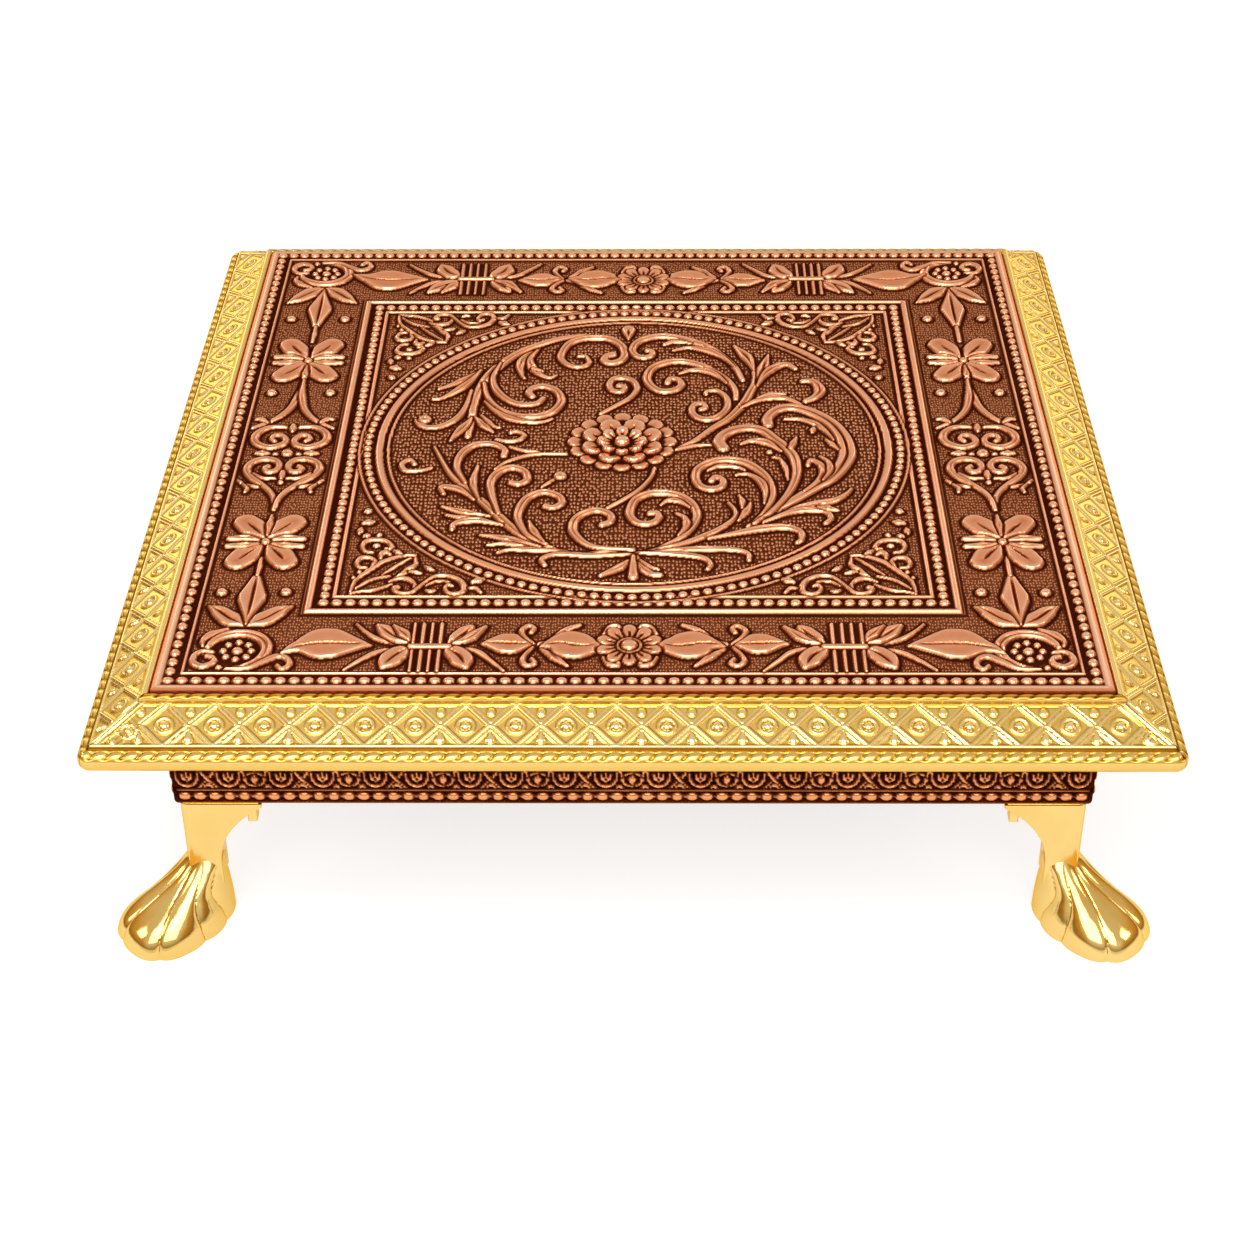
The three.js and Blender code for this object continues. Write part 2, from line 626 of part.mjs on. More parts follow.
function copperTop() {
  const under = panelTop - copperSheet;
  const profile = [
    [0, under], [panelHalf - copperSheet, under], [panelHalf - copperSheet, under - copperLipDepth],
    [panelHalf, under - copperLipDepth], [panelHalf, panelTop], [panelHalf - rimWidth, panelTop],
    [panelHalf - rimWidth - fieldDrop, fieldHeight],
    ...ridgeProfile(panelHalf - outerBeadInset, beadRowRadius, beadRowRise),
    ...ridgeProfile(panelHalf - outerRidgeInset, fineRidgeRadius), [0, fieldHeight],
  ];
  let body = squareBody(profile);
  body = body.add(frameRidge(frameRidgeInset, broadRidgeRadius));
  body = body.add(frameRidge(innerRidgeInset, fineRidgeRadius));
  body = body.add(frameRidge(innerBeadInset, beadRowRadius, beadRowRise));
  for (const ring of medallionRing()) body = body.add(ring.translate([0, -medallionForward, 0]));
  body = body.add(rosette().translate([-rosetteLeft, -rosetteForward, 0]));
  const band = panelHalf - (outerRidgeInset + frameRidgeInset) / 2;
  const bed = fieldHeight - bedDepth;
  for (let turn = 0; turn < 4; turn++) {
    const angle = turn * quarter;
    const boss = (shape, along) => slab(shape, bed, bedDepth + ridgeRise, 3)
      .translate([along, -band, 0]).rotate([0, 0, THREE.MathUtils.radToDeg(angle)]);
    const upDown = turn % 2 === 1;
    body = body.add(boss(petalShape(cornerBossRadius, rosettePetals), -band));
    const shape = petalShape(upDown ? flowerRadius : leafBossRadius, flowerPetals, quarter / 2);
    for (const end of [-1, 1]) {
      body = body.add(boss(shape, end * panelHalf * (upDown ? bandFlowerShare : bandLeafShare)));
    }
    if (!upDown) body = body.add(boss(petalShape(daisyRadius, rosettePetals), 0));
  }
  const raised = ridges(medallionScrolls, scrollHalfWidth);
  for (const across of [-1, 1]) {
    for (const along of [-1, 1]) {
      raised.push(...ridges(borderScrolls, scrollHalfWidth, across, along));
      raised.push(...ridges(borderLeaves, leafHalfWidth, across, along));
    }
  }
  for (const ridge of raised) body = body.add(ridge);
  return surface(body);
}

// Leg, in a frame whose corner is the apron's corner and whose axes run inwards along the apron
function planOutline(points) {
  return new THREE.Shape(points.map(([x, y]) => new THREE.Vector2(x, y)));
}

// One face of the leg: the column with its ear, as an outline across x and z, as thick as the ear.
function earPlate() {
  const top = legHeight - seatHeight;
  const shape = new THREE.Shape();
  shape.moveTo(legInset, ankleHeight / 2);
  shape.lineTo(legInset + columnWidth, ankleHeight / 2);
  shape.lineTo(legInset + columnWidth * waistShare, ankleHeight);
  const bend = THREE.MathUtils.lerp(top, ankleHeight, earBendShare);
  shape.quadraticCurveTo(legInset + columnWidth, bend, earReach, top - earTipHeight);
  shape.lineTo(earReach, top);
  shape.lineTo(legInset, top);
  const plate = new THREE.ExtrudeGeometry(shape, { depth: earThickness, bevelEnabled: false, curveSegments: 8 });
  return plate.rotateX(quarter).translate(0, legInset + earThickness, 0);
}

// The lug behind the ear's tip, its lower corner rounded towards the column.
function lug() {
  const top = legHeight - seatHeight;
  const right = earReach - lugSetBack;
  const bottom = legHeight - lugDrop;
  const shape = new THREE.Shape();
  shape.moveTo(right, top);
  shape.lineTo(right - lugWidth, top);
  shape.lineTo(right - lugWidth, bottom + lugRound);
  shape.quadraticCurveTo(right - lugWidth, bottom, right - lugWidth + lugRound, bottom);
  shape.lineTo(right, bottom);
  const plate = new THREE.ExtrudeGeometry(shape, { depth: lugLength, bevelEnabled: false, curveSegments: 4 });
  return plate.rotateX(quarter).translate(0, legInset + earThickness + lugLength - bedDepth, 0);
}

// The same form on both faces: itself and its mirror image across the corner's diagonal.
function bothFaces(geometry) {
  const face = solid(geometry);
  return face.add(face.mirror([1, -1, 0]));
}

// The paw, lofted through superellipse rings whose grooves part the toes.
function paw() {
  const columnMiddle = -Math.SQRT2 * (legInset + columnWidth / 2);
  const rings = pawRingShares.map((ring) => {
    const middle = THREE.MathUtils.lerp(pawMiddleOut, columnMiddle, ring.drift);
    return Array.from({ length: pawPoints }, (_, i) => {
      const angle = (2 * Math.PI * i) / pawPoints;
      const [c, s] = [Math.cos(angle), Math.sin(angle)];
      const power = c > 0 ? pawFrontPower : pawRearPower;
      const reach = c > 0 ? pawFront * ring.front : pawRear * ring.rear;
      const round = (Math.abs(c / reach) ** power + Math.abs(s / (pawHalfWidth * ring.width)) ** power)
        ** (-1 / power);
      const turn = Math.abs(THREE.MathUtils.euclideanModulo(angle + Math.PI, 2 * Math.PI) - Math.PI);
      const nearest = Math.min(...pawGrooveAngles.map((groove) => Math.abs(turn - groove)));
      const cut = pawGrooveDepth * ring.groove * Math.max(0, 1 - nearest / pawGrooveSpread);
      const out = middle + c * (round - cut);
      const across = s * (round - cut);
      return [-(out + across) / Math.SQRT2, -(out - across) / Math.SQRT2, ring.height * ankleHeight];
    });
  });
  const positions = [];
  for (let k = 0; k + 1 < rings.length; k++) {
    for (let i = 0; i < pawPoints; i++) {
      const j = (i + 1) % pawPoints;
      positions.push(...rings[k][i], ...rings[k + 1][j], ...rings[k][j]);
      positions.push(...rings[k][i], ...rings[k + 1][i], ...rings[k + 1][j]);
    }
  }
  for (const [ring, up] of [[rings[0], false], [rings.at(-1), true]]) {
    const centre = ring[0].map((_, axis) => ring.reduce((sum, point) => sum + point[axis], 0) / pawPoints);
    for (let i = 0; i < pawPoints; i++) {
      const j = (i + 1) % pawPoints;
      positions.push(...centre, ...(up ? ring[j] : ring[i]), ...(up ? ring[i] : ring[j]));
    }
  }
  const geometry = new THREE.BufferGeometry();
  geometry.setAttribute("position", new THREE.BufferAttribute(new Float32Array(positions), 3));
  return solid(geometry);
}

function leg() {
  const far = earReach + cutOverrun;
  const inner = legInset + columnWidth;
  const rounded = new THREE.Shape();
  rounded.moveTo(legInset, legInset + legCornerRadius);
  rounded.absarc(
    legInset + legCornerRadius, legInset + legCornerRadius, legCornerRadius, 2 * quarter, 3 * quarter, false,
  );
  rounded.lineTo(far, legInset);
  rounded.lineTo(far, far);
  rounded.lineTo(legInset, far);
  const trim = slab(rounded, 0, legHeight);
  const column = boxBetween([legInset, legInset, ankleHeight / 2], [inner, inner, legHeight - seatHeight]);
  const upper = bothFaces(earPlate()).add(column).intersect(trim);
  const seat = legInset + seatInset;
  const diagonal = legScrewIn + legScrewAlong + screw.head;
  const plate = planOutline([
    [seat, seat], [earReach - seatInset, seat], [diagonal - seat - earThickness, seat + earThickness],
    [seat + earThickness, diagonal - seat - earThickness], [seat, earReach - seatInset],
  ]);
  let body = upper.add(slab(plate, legHeight - topPlateThickness, topPlateThickness)).add(bothFaces(lug()));
  body = body.add(paw());
  for (const [x, y] of [[legScrewAlong, legScrewIn], [legScrewIn, legScrewAlong]]) {
    body = body.subtract(bore(screw.shank, legScrewSeat, legHeight + cutOverrun, x, y));
  }
  return surface(body.translate([-apronHalf, -apronHalf, 0]));
}

place("top_board", topBoard(), "wood");
place("copper_top_sheet", copperTop(), "copper");

sides.forEach((side, index) => {
  const group = turned(index);
  place(`edge_moulding_${side}`, edgeMoulding(), "wood", group);
  place(`brass_edge_strip_${side}`, edgeStrip(side), "brass", group);
  place(`apron_rail_${side}`, apronRail(), "railWood", group);
  place(`copper_apron_strip_${side}`, apronStrip(), "apronCopper", group);
  for (const [end, name] of [[0, "a"], [1, "b"]]) {
    const apronTack = surface(roundHeaded(tack, apronTackSeat, tack.grip));
    place(`apron_tack_${side}_${name}`, apronTack, "screwBrass", group)
      .position.set(...apronTackPlaces[end], 0);
    const edgeTack = surface(roundHeaded(tack, edgeTackSeat, tack.grip));
    place(`edge_tack_${side}_${name}`, edgeTack, "screwBrass", group)
      .position.set(...edgeTackPlaces[end], 0);
  }
});

corners.forEach((corner, index) => {
  const group = turned(index);
  place(`leg_${corner}`, leg(), "castBrass", group);
  place(`corner_block_${corner}`, cornerBlock(), "railWood", group);
  const blockScrew = surface(slottedScrew(blockScrewSeat, blockScrewLength));
  place(`block_screw_${corner}`, blockScrew, "screwBrass", group).position.set(-blockMiddle, -blockMiddle, 0);
  const places = { a: [legScrewAlong, legScrewIn], b: [legScrewIn, legScrewAlong] };
  for (const [name, [x, y]] of Object.entries(places)) {
    const legScrew = surface(slottedScrew(legScrewSeat, screw.grip));
    place(`leg_screw_${corner}_${name}`, legScrew, "screwBrass", group)
      .position.set(x - apronHalf, y - apronHalf, 0);
  }
});

export default table;
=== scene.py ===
import math

import bpy
import numpy as np
from mathutils import Matrix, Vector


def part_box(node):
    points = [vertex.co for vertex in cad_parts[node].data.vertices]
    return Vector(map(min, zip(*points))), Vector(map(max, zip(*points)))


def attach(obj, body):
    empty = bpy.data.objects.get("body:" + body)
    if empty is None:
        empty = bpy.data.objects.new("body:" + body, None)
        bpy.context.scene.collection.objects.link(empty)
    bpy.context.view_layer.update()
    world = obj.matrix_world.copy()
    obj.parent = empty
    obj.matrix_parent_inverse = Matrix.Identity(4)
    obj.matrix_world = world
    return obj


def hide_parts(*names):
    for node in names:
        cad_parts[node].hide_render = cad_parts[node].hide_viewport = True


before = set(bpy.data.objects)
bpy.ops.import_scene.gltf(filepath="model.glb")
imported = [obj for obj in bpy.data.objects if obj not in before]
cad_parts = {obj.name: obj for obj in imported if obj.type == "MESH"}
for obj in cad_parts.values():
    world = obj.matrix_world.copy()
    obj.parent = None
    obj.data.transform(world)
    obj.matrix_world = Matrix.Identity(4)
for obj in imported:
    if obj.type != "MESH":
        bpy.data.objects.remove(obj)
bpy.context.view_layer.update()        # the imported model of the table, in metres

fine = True
mm = 0.001
farOff = 9.0             # mm, further than any edge is looked for
spare = 0.5              # mm looked at beyond a shape's cut
widestScroll = 2.9       # mm of half width; a wider stroke is a leaf
quarter = math.pi / 2
sides = ["front", "right", "back", "left"]
corners = ["front_left", "front_right", "back_right", "back_left"]
print("frame loaded,", len(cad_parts), "nodes")


# Lower and upper corner of a node's box, in mm.
def boxOf(node):
    low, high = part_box(node)
    return np.array(low) / mm, np.array(high) / mm


# Meshes

# Turns points a number of quarter turns about the table's axis.
def turned(points, quarters):
    c, s = [(1, 0), (0, 1), (-1, 0), (0, -1)][quarters % 4]
    x, y, z = points[..., 0], points[..., 1], points[..., 2]
    return np.stack([c * x - s * y, s * x + c * y, z], axis=-1)


# Angles of equal steps round a circle.
def fullTurn(count):
    return np.linspace(0, 2 * math.pi, count, endpoint=False)


# A new object of the scene, at the origin.
def addObject(name, data):
    made = bpy.data.objects.new(name, data)
    bpy.context.scene.collection.objects.link(made)
    return made


# A mesh object from points in mm and a list of face arrays, each with one number of corners.
# values are named numbers on the points; normals, if given, hold one direction per face corner.
def makePiece(name, points, faceSets, material, node, values=None, normals=None, smoothAngle=None):
    mesh = bpy.data.meshes.new(name)
    loops = np.concatenate([np.asarray(f, np.int32).ravel() for f in faceSets])
    counts = np.concatenate([np.full(len(f), np.shape(f)[1], np.int32) for f in faceSets])
    starts = np.concatenate([[0], np.cumsum(counts)[:-1]]).astype(np.int32)
    mesh.vertices.add(len(points))
    mesh.vertices.foreach_set("co", (np.asarray(points) * mm).astype(np.float32).ravel())
    mesh.loops.add(len(loops))
    mesh.loops.foreach_set("vertex_index", loops)
    mesh.polygons.add(len(starts))
    mesh.polygons.foreach_set("loop_start", starts)
    mesh.update(calc_edges=True)
    for key, numbers in (values or {}).items():
        layer = mesh.attributes.new(key, "FLOAT", "POINT")
        layer.data.foreach_set("value", np.asarray(numbers, np.float32).ravel())
    mesh.polygons.foreach_set("use_smooth", np.ones(len(starts), bool))
    if normals is not None:
        mesh.normals_split_custom_set(normals)
    elif smoothAngle is not None:
        mesh.set_sharp_from_angle(angle=math.radians(smoothAngle))
    mesh.validate()
    mesh.materials.append(material)
    piece = addObject(name, mesh)
    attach(piece, "root")
    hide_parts(node)


# Quads between neighbouring rows of a grid of points, outwards when the rows run anticlockwise.
def gridFaces(rows, columns, closed=False, first=0):
    r = np.arange(rows - 1)[:, None]
    c = np.arange(columns if closed else columns - 1)[None, :]
    n = (c + 1) % columns
    below, above = r * columns, (r + 1) * columns
    return np.stack([below + c, below + n, above + n, above + c], axis=-1).reshape(-1, 4) + first


# Rows of numbers carried smoothly through given rows: a Catmull-Rom curve, with steps between each pair.
def throughRows(rows, spans):
    rows = np.array(rows, float)
    padded = np.vstack([2 * rows[0] - rows[1], rows, 2 * rows[-1] - rows[-2]])
    t = np.linspace(0, 1, spans, endpoint=False)[None, :, None]
    a, b, c, d = [padded[k:len(padded) - 3 + k][:, None, :] for k in range(4)]
    curve = 0.5 * (2 * b + (c - a) * t + (2 * a - 5 * b + 4 * c - d) * t ** 2
                   + (3 * b - 3 * c + d - a) * t ** 3)
    return np.vstack([curve.reshape(-1, rows.shape[1]), rows[-1]])


# The length run along a path at each of its points.
def runningLength(path):
    return np.concatenate([[0], np.cumsum(np.hypot(*np.diff(path, axis=0).T))])


# Relief fields: height and nearness to raised work over a grid of two lengths in mm

# An empty field: flat, and far from any edge.
def newField(uAxis, vAxis):
    shape = (len(vAxis), len(uAxis))
    return {"u": uAxis, "v": vAxis, "rise": np.zeros(shape), "gap": np.full(shape, farOff)}


# The grid lines between two places, with one more at each end.
def windowOf(axis, low, high):
    return slice(max(0, int(np.searchsorted(axis, low)) - 1), int(np.searchsorted(axis, high)) + 1)


# A step without corners: three squares of the share less two cubes.
def smoothStep(values):
    t = np.clip(values, 0, 1)
    return t * t * (3 - 2 * t)


# Lays a shape over what is there: inside its edge its own height counts, and a narrow cut round it
# brings the work below it down to the ground.
def layOver(field, rows, columns, edge, top, cut):
    rise, gap = field["rise"][rows, columns], field["gap"][rows, columns]
    field["rise"][rows, columns] = np.where(edge < 0, top, rise * smoothStep(edge / cut))
    field["gap"][rows, columns] = np.minimum(gap, edge)


# A shape's full height: wider shapes stand higher, up to the relief's rise.
def fullHeight(width, relief):
    return relief["rise"] * np.minimum(1, relief["thin"] + relief["perWidth"] * width)


# The rounded top of a shape: full height on its spine and falling to nothing at its edge.
def roundedTop(ratio, width, relief):
    return fullHeight(width, relief) * np.clip(1 - np.clip(ratio, 0, 1) ** 2.4, 0, 1) ** 0.55


# A stroke's flat body: it rises over a bevel from its edge and sinks a little towards its spine.
def bevelledTop(edge, width, relief):
    inside = np.clip(-edge, 0, None)
    bevel = np.minimum(width, relief["bevel"])
    share = np.clip(inside / bevel, 0, 1)
    hollow = relief["hollow"] * np.clip((inside - bevel) / np.maximum(width, 1.5), 0, 1)
    return fullHeight(width, relief) * (np.sin(share * quarter) - hollow)


# A stroke's smooth path, and its half width run along the path's length.
def smoothPath(stroke, spans=6):
    widths, points = stroke
    path = throughRows(np.reshape(points, (-1, 2)), spans)
    lengths = runningLength(path)
    return path, np.interp(lengths / lengths[-1], np.linspace(0, 1, len(widths)), widths)


# A leaf's slit and a scroll's flute: each is cut along the spine as a bell curve and tapers out at both
# ends of the path.
def spineCut(fromSpine, share, width, widest):
    taper = np.sin(math.pi * np.clip((share - 0.06) / 0.8, 0, 1)) ** 0.6
    if widest > widestScroll:
        return 1.1 * np.exp(-(fromSpine / (0.15 + 0.42 * taper)) ** 2) * taper
    return 0.8 * np.exp(-(fromSpine / 0.4) ** 2) * taper * smoothStep((width - 1.3) / 0.7)


# Stamps a tapered stroke: each place takes the nearest stretch of the path, whose half width gives
# the edge, and its place along the path.
def stampStroke(field, stroke, relief, worked=True):
    path, reach = smoothPath(stroke)
    room = relief["cut"] + spare
    (left, low), (right, high) = path.min(axis=0) - reach.max() - room, path.max(axis=0) + reach.max() + room
    columns, rows = windowOf(field["u"], left, right), windowOf(field["v"], low, high)
    u, v = field["u"][columns], field["v"][rows]
    if not len(u) or not len(v):
        return
    edge = np.full((len(v), len(u)), farOff)
    width, share = np.ones_like(edge), np.zeros_like(edge)
    for k, ((ax, ay), (bx, by), ra, rb) in enumerate(zip(path[:-1], path[1:], reach[:-1], reach[1:])):
        near = max(ra, rb) + room
        nearU = windowOf(u, min(ax, bx) - near, max(ax, bx) + near)
        nearV = windowOf(v, min(ay, by) - near, max(ay, by) + near)
        fromU, fromV = u[nearU][None, :] - ax, v[nearV][:, None] - ay
        runU, runV = bx - ax, by - ay
        t = np.clip((fromU * runU + fromV * runV) / (runU * runU + runV * runV + 1e-9), 0, 1)
        radius = ra + (rb - ra) * t
        fromEdge = np.hypot(fromU - t * runU, fromV - t * runV) - radius
        closer = fromEdge < edge[nearV, nearU]
        edge[nearV, nearU] = np.where(closer, fromEdge, edge[nearV, nearU])
        width[nearV, nearU] = np.where(closer, radius, width[nearV, nearU])
        share[nearV, nearU] = np.where(closer, (k + t) / len(path), share[nearV, nearU])
    top = bevelledTop(edge, width, relief)
    if worked:
        top = top - spineCut(edge + width, share, width, reach.max())
    layOver(field, rows, columns, edge, np.maximum(top, 0), relief["cut"])


# Stamps an oval dome: its edge is where the squares of the shares of both half sizes add up to one.
def stampDome(field, x, y, halfU, halfV, relief, turn=0.0, tall=1.0):
    margin = max(halfU, halfV) + relief["cut"] + spare
    columns, rows = windowOf(field["u"], x - margin, x + margin), windowOf(field["v"], y - margin, y + margin)
    fromU, fromV = field["u"][columns][None, :] - x, field["v"][rows][:, None] - y
    a, b = fromU * math.cos(turn) + fromV * math.sin(turn), fromV * math.cos(turn) - fromU * math.sin(turn)
    ratio = np.hypot(a / halfU, b / halfV)
    small = min(halfU, halfV)
    layOver(field, rows, columns, (ratio - 1) * small, tall * roundedTop(ratio, small, relief), relief["cut"])


# Stamps a ridge wherever a distance from its middle line, given over the whole field, is small.
def stampRidge(field, distance, halfWidth, tall, relief):
    everything = slice(None)
    top = tall * np.clip(1 - np.clip(distance / halfWidth, 0, 1) ** 2.6, 0, 1) ** 0.5
    layOver(field, everything, everything, distance - halfWidth, top, relief["cut"])


# Reads a field between its grid lines, in straight proportion.
def sampleField(field, key, u, v):
    i = np.clip((u - field["u"][0]) / (field["u"][1] - field["u"][0]), 0, len(field["u"]) - 1.001)
    j = np.clip((v - field["v"][0]) / (field["v"][1] - field["v"][0]), 0, len(field["v"]) - 1.001)
    i0, j0 = i.astype(int), j.astype(int)
    fi, fj = i - i0, j - j0
    f = field[key]
    return (f[j0, i0] * (1 - fi) + f[j0, i0 + 1] * fi) * (1 - fj) \
        + (f[j0 + 1, i0] * (1 - fi) + f[j0 + 1, i0 + 1] * fi) * fj


# Strokes mirrored and moved: x and y are each a factor and a shift.
def moved(strokes, xFactor=1.0, xShift=0.0, yFactor=1.0, yShift=0.0):
    result = []
    for widths, points in strokes:
        places = np.array(points, float).reshape(-1, 2) * [xFactor, yFactor] + [xShift, yShift]
        result.append((widths, places.ravel()))
    return result


# Strokes followed by their mirror images about an upright line.
def bothWays(strokes, line):
    return strokes + moved(strokes, -1, 2 * line)


# Materials

# A node of a material, with its sockets set or linked.
def addNode(tree, kind, inputs=None, **settings):
    node = tree.nodes.new(kind)
    for key, value in settings.items():
        setattr(node, key, value)
    for key, value in (inputs or {}).items():
        if isinstance(value, bpy.types.NodeSocket):
            tree.links.new(value, node.inputs[key])
        else:
            node.inputs[key].default_value = value
    return node


# A sum, a product or the like of up to three numbers or sockets.
def mathNode(tree, operation, a, b=0.0, c=0.0):
    return addNode(tree, "ShaderNodeMath", {0: a, 1: b, 2: c}, operation=operation).outputs[0]


# Colours along a factor: each stop is a place and a colour, with straight runs between them.
def rampNode(tree, factor, stops):
    node = addNode(tree, "ShaderNodeValToRGB", {"Fac": factor})
    ramp = node.color_ramp
    while len(ramp.elements) < len(stops):
        ramp.elements.new(0.5)
    for element, (place, color) in zip(ramp.elements, stops):
        element.position = place
        element.color = (*color, 1)
    return node.outputs["Color"]


# A value carried in straight proportion from one range to another, and held within it.
def spreadNode(tree, value, low, high, newLow, newHigh):
    return addNode(tree, "ShaderNodeMapRange", {0: value, 1: low, 2: high, 3: newLow, 4: newHigh}).outputs[0]


# Noise in layers, each twice as fine as the last.
def noiseNode(tree, place, scale, detail, distortion=0.0):
    return addNode(tree, "ShaderNodeTexNoise", {"Vector": place, "Scale": scale, "Detail": detail,
                                                "Distortion": distortion}).outputs["Fac"]


# A place stretched by a factor along each axis.
def stretchNode(tree, place, factors):
    return addNode(tree, "ShaderNodeMapping", {"Vector": place, "Scale": factors}).outputs["Vector"]


# The number that a mesh holds at its points under a name.
def pointNumber(tree, name):
    return addNode(tree, "ShaderNodeAttribute", attribute_name=name).outputs["Fac"]


# The place on the object, in metres.
def objectPlace(tree):
    return addNode(tree, "ShaderNodeTexCoord").outputs["Object"]


# A new material, its nodes and its shader.
def newMaterial(name):
    material = bpy.data.materials.new(name)
    material.use_nodes = True
    return material, material.node_tree, material.node_tree.nodes["Principled BSDF"]


# Tilts the shader's normals by the slopes of a height.
def addBump(tree, shader, height, distance, strength=1.0):
    bump = addNode(tree, "ShaderNodeBump", {"Height": height, "Strength": strength, "Distance": distance})
    tree.links.new(bump.outputs["Normal"], shader.inputs["Normal"])


# Small round punch marks: a dot in the middle of each cell, where the points say that ground lies open.
def punchMarks(tree, place, punch):
    scale = punch["scale"]
    if punch["flat"]:
        scale = mathNode(tree, "MULTIPLY", pointNumber(tree, "fineness"), scale)
    cells = addNode(tree, "ShaderNodeTexVoronoi",
                    {"Vector": stretchNode(tree, place, punch["stretch"]), "Scale": scale,
                     "Randomness": punch["scatter"]},
                    voronoi_dimensions="2D" if punch["flat"] else "3D")
    dots = spreadNode(tree, cells.outputs["Distance"], punch["inside"], punch["outside"], 1.0, 0.0)
    return mathNode(tree, "MULTIPLY", dots, pointNumber(tree, "ground"))


# Embossed metal: the tone on the points runs from dark to pale. On the copper it runs from patina to rubbed
# metal, with a painted highlight at its palest; on the brass it runs from painted shade to painted highlight.
# Noise in two sizes and the punch marks are added to it, and the punch marks make their dots paler, a painted
# highlight. The sum gives colour, roughness and how bare the metal is.
def embossedMetal(name, look):
    material, tree, shader = newMaterial(name)
    place = objectPlace(tree)
    mottle = noiseNode(tree, place, look["mottleScale"], 4.0)
    grain = noiseNode(tree, place, look["mottleScale"] * 9, 2.0)
    full = pointNumber(tree, "tone")
    for noise, strength in ((mottle, look["mottle"]), (grain, look["grain"])):
        uneven = mathNode(tree, "MULTIPLY_ADD", noise, strength, -0.5 * strength)
        full = mathNode(tree, "ADD", full, uneven)
    height = mathNode(tree, "MULTIPLY", grain, look["grainHeight"])
    if look["punch"]:
        marks = punchMarks(tree, place, look["punch"])
        # the punch marks lift the tone of each dot: a painted highlight on the dots' tops, besides their
        # bumps
        full = mathNode(tree, "MULTIPLY_ADD", marks, look["punch"]["tone"], full)
        height = mathNode(tree, "MULTIPLY_ADD", marks, look["punch"]["height"], height)
    tree.links.new(rampNode(tree, full, look["colors"]), shader.inputs["Base Color"])
    tree.links.new(spreadNode(tree, full, 0.0, 1.0, *look["rough"]), shader.inputs["Roughness"])
    addBump(tree, shader, height, mm)
    if look["bare"]:
        tree.links.new(spreadNode(tree, full, *look["bare"], 0.0, 1.0), shader.inputs["Metallic"])
    else:
        shader.inputs["Metallic"].default_value = 1.0
    shader.inputs["Specular IOR Level"].default_value = 0.0
    shader.inputs["Specular Tint"].default_value = (*look["edgeColor"], 1)
    return material


# Copper panel

# All in mm from the panel's middle and from the floor; the places are where the photographed table has
# them. A line is how far in it lies, its half width and height, and a bead's size is its half sizes
# across and along its row.
panel = {
    "cells": 681 if fine else 327,
    "tiles": 3,
    "ground": 106.62,
    "under": 106.42,
    "sheet": 0.6,
    "lipDepth": 5.0,
    "rimRise": 0.38,
    "rimWidth": 3.1,
    "rimRound": 1.3,
    "rimLine": (2.0, 0.4, 0.55),
    "outerLine": (9.6, 0.6, 0.8),
    "frameMiddle": (0.0, -1.8),
    "frameLines": [(47.5, 0.5, 0.6), (49.0, 1.15, 1.2), (58.0, 0.8, 0.95)],
    "frameChannel": (46.6, 58.0),
    "ringMiddle": (-0.2, -2.5),
    "ringStretch": 1.017,
    "ringLines": [(109.8, 0.6, 0.7), (101.9, 1.6, 1.2), (98.3, 0.6, 0.8)],
    "ringChannel": (101, 110),
    "outerBeads": {"inset": 5.4, "middle": (0, 0), "counts": (66, 60), "size": (1.75, 2.2)},
    "innerBeads": {"half": 112.9, "middle": (0.3, -1.6), "counts": (46, 47), "size": (1.9, 2.1)},
    "ringBeads": {"radius": 106.6, "count": 144, "size": (1.7, 1.9)},
    "rosette": (-4.9, -2.1),
    "daisies": [(-1.1, -140.5), (3.3, 137.5)],
    "cornerFlowers": {"out": 139.8, "rows": (-144.2, 143.6), "beads": 8, "radius": 5},
    # copies of drawn parts: the factor and the shift of y, for half the front after its middle and stretch
    "spandrels": [(1, 1.2), (-1, -4.8)],
    "farParts": [(-1, -0.6), (-1.1, -12.8), (-1, -7), (-1, -10.5)],
    "sideShift": 0.2,
    "frontHalves": [(-1.1, 0.965, 1, 0), (-1.1, -1.04, 1, 0), (3.3, 1.024, -1, -3), (3.3, -0.995, -1, -3)],
    "frontDrawnAbout": -0.6,
}
# A raised shape's full rise, its share when thin and what each mm of width adds, and in mm the cut round
# it, its bevel and the hollow along its middle.
relief = {"rise": 1.5, "thin": 0.55, "perWidth": 0.22, "cut": 0.9, "bevel": 1.15, "hollow": 0.3}

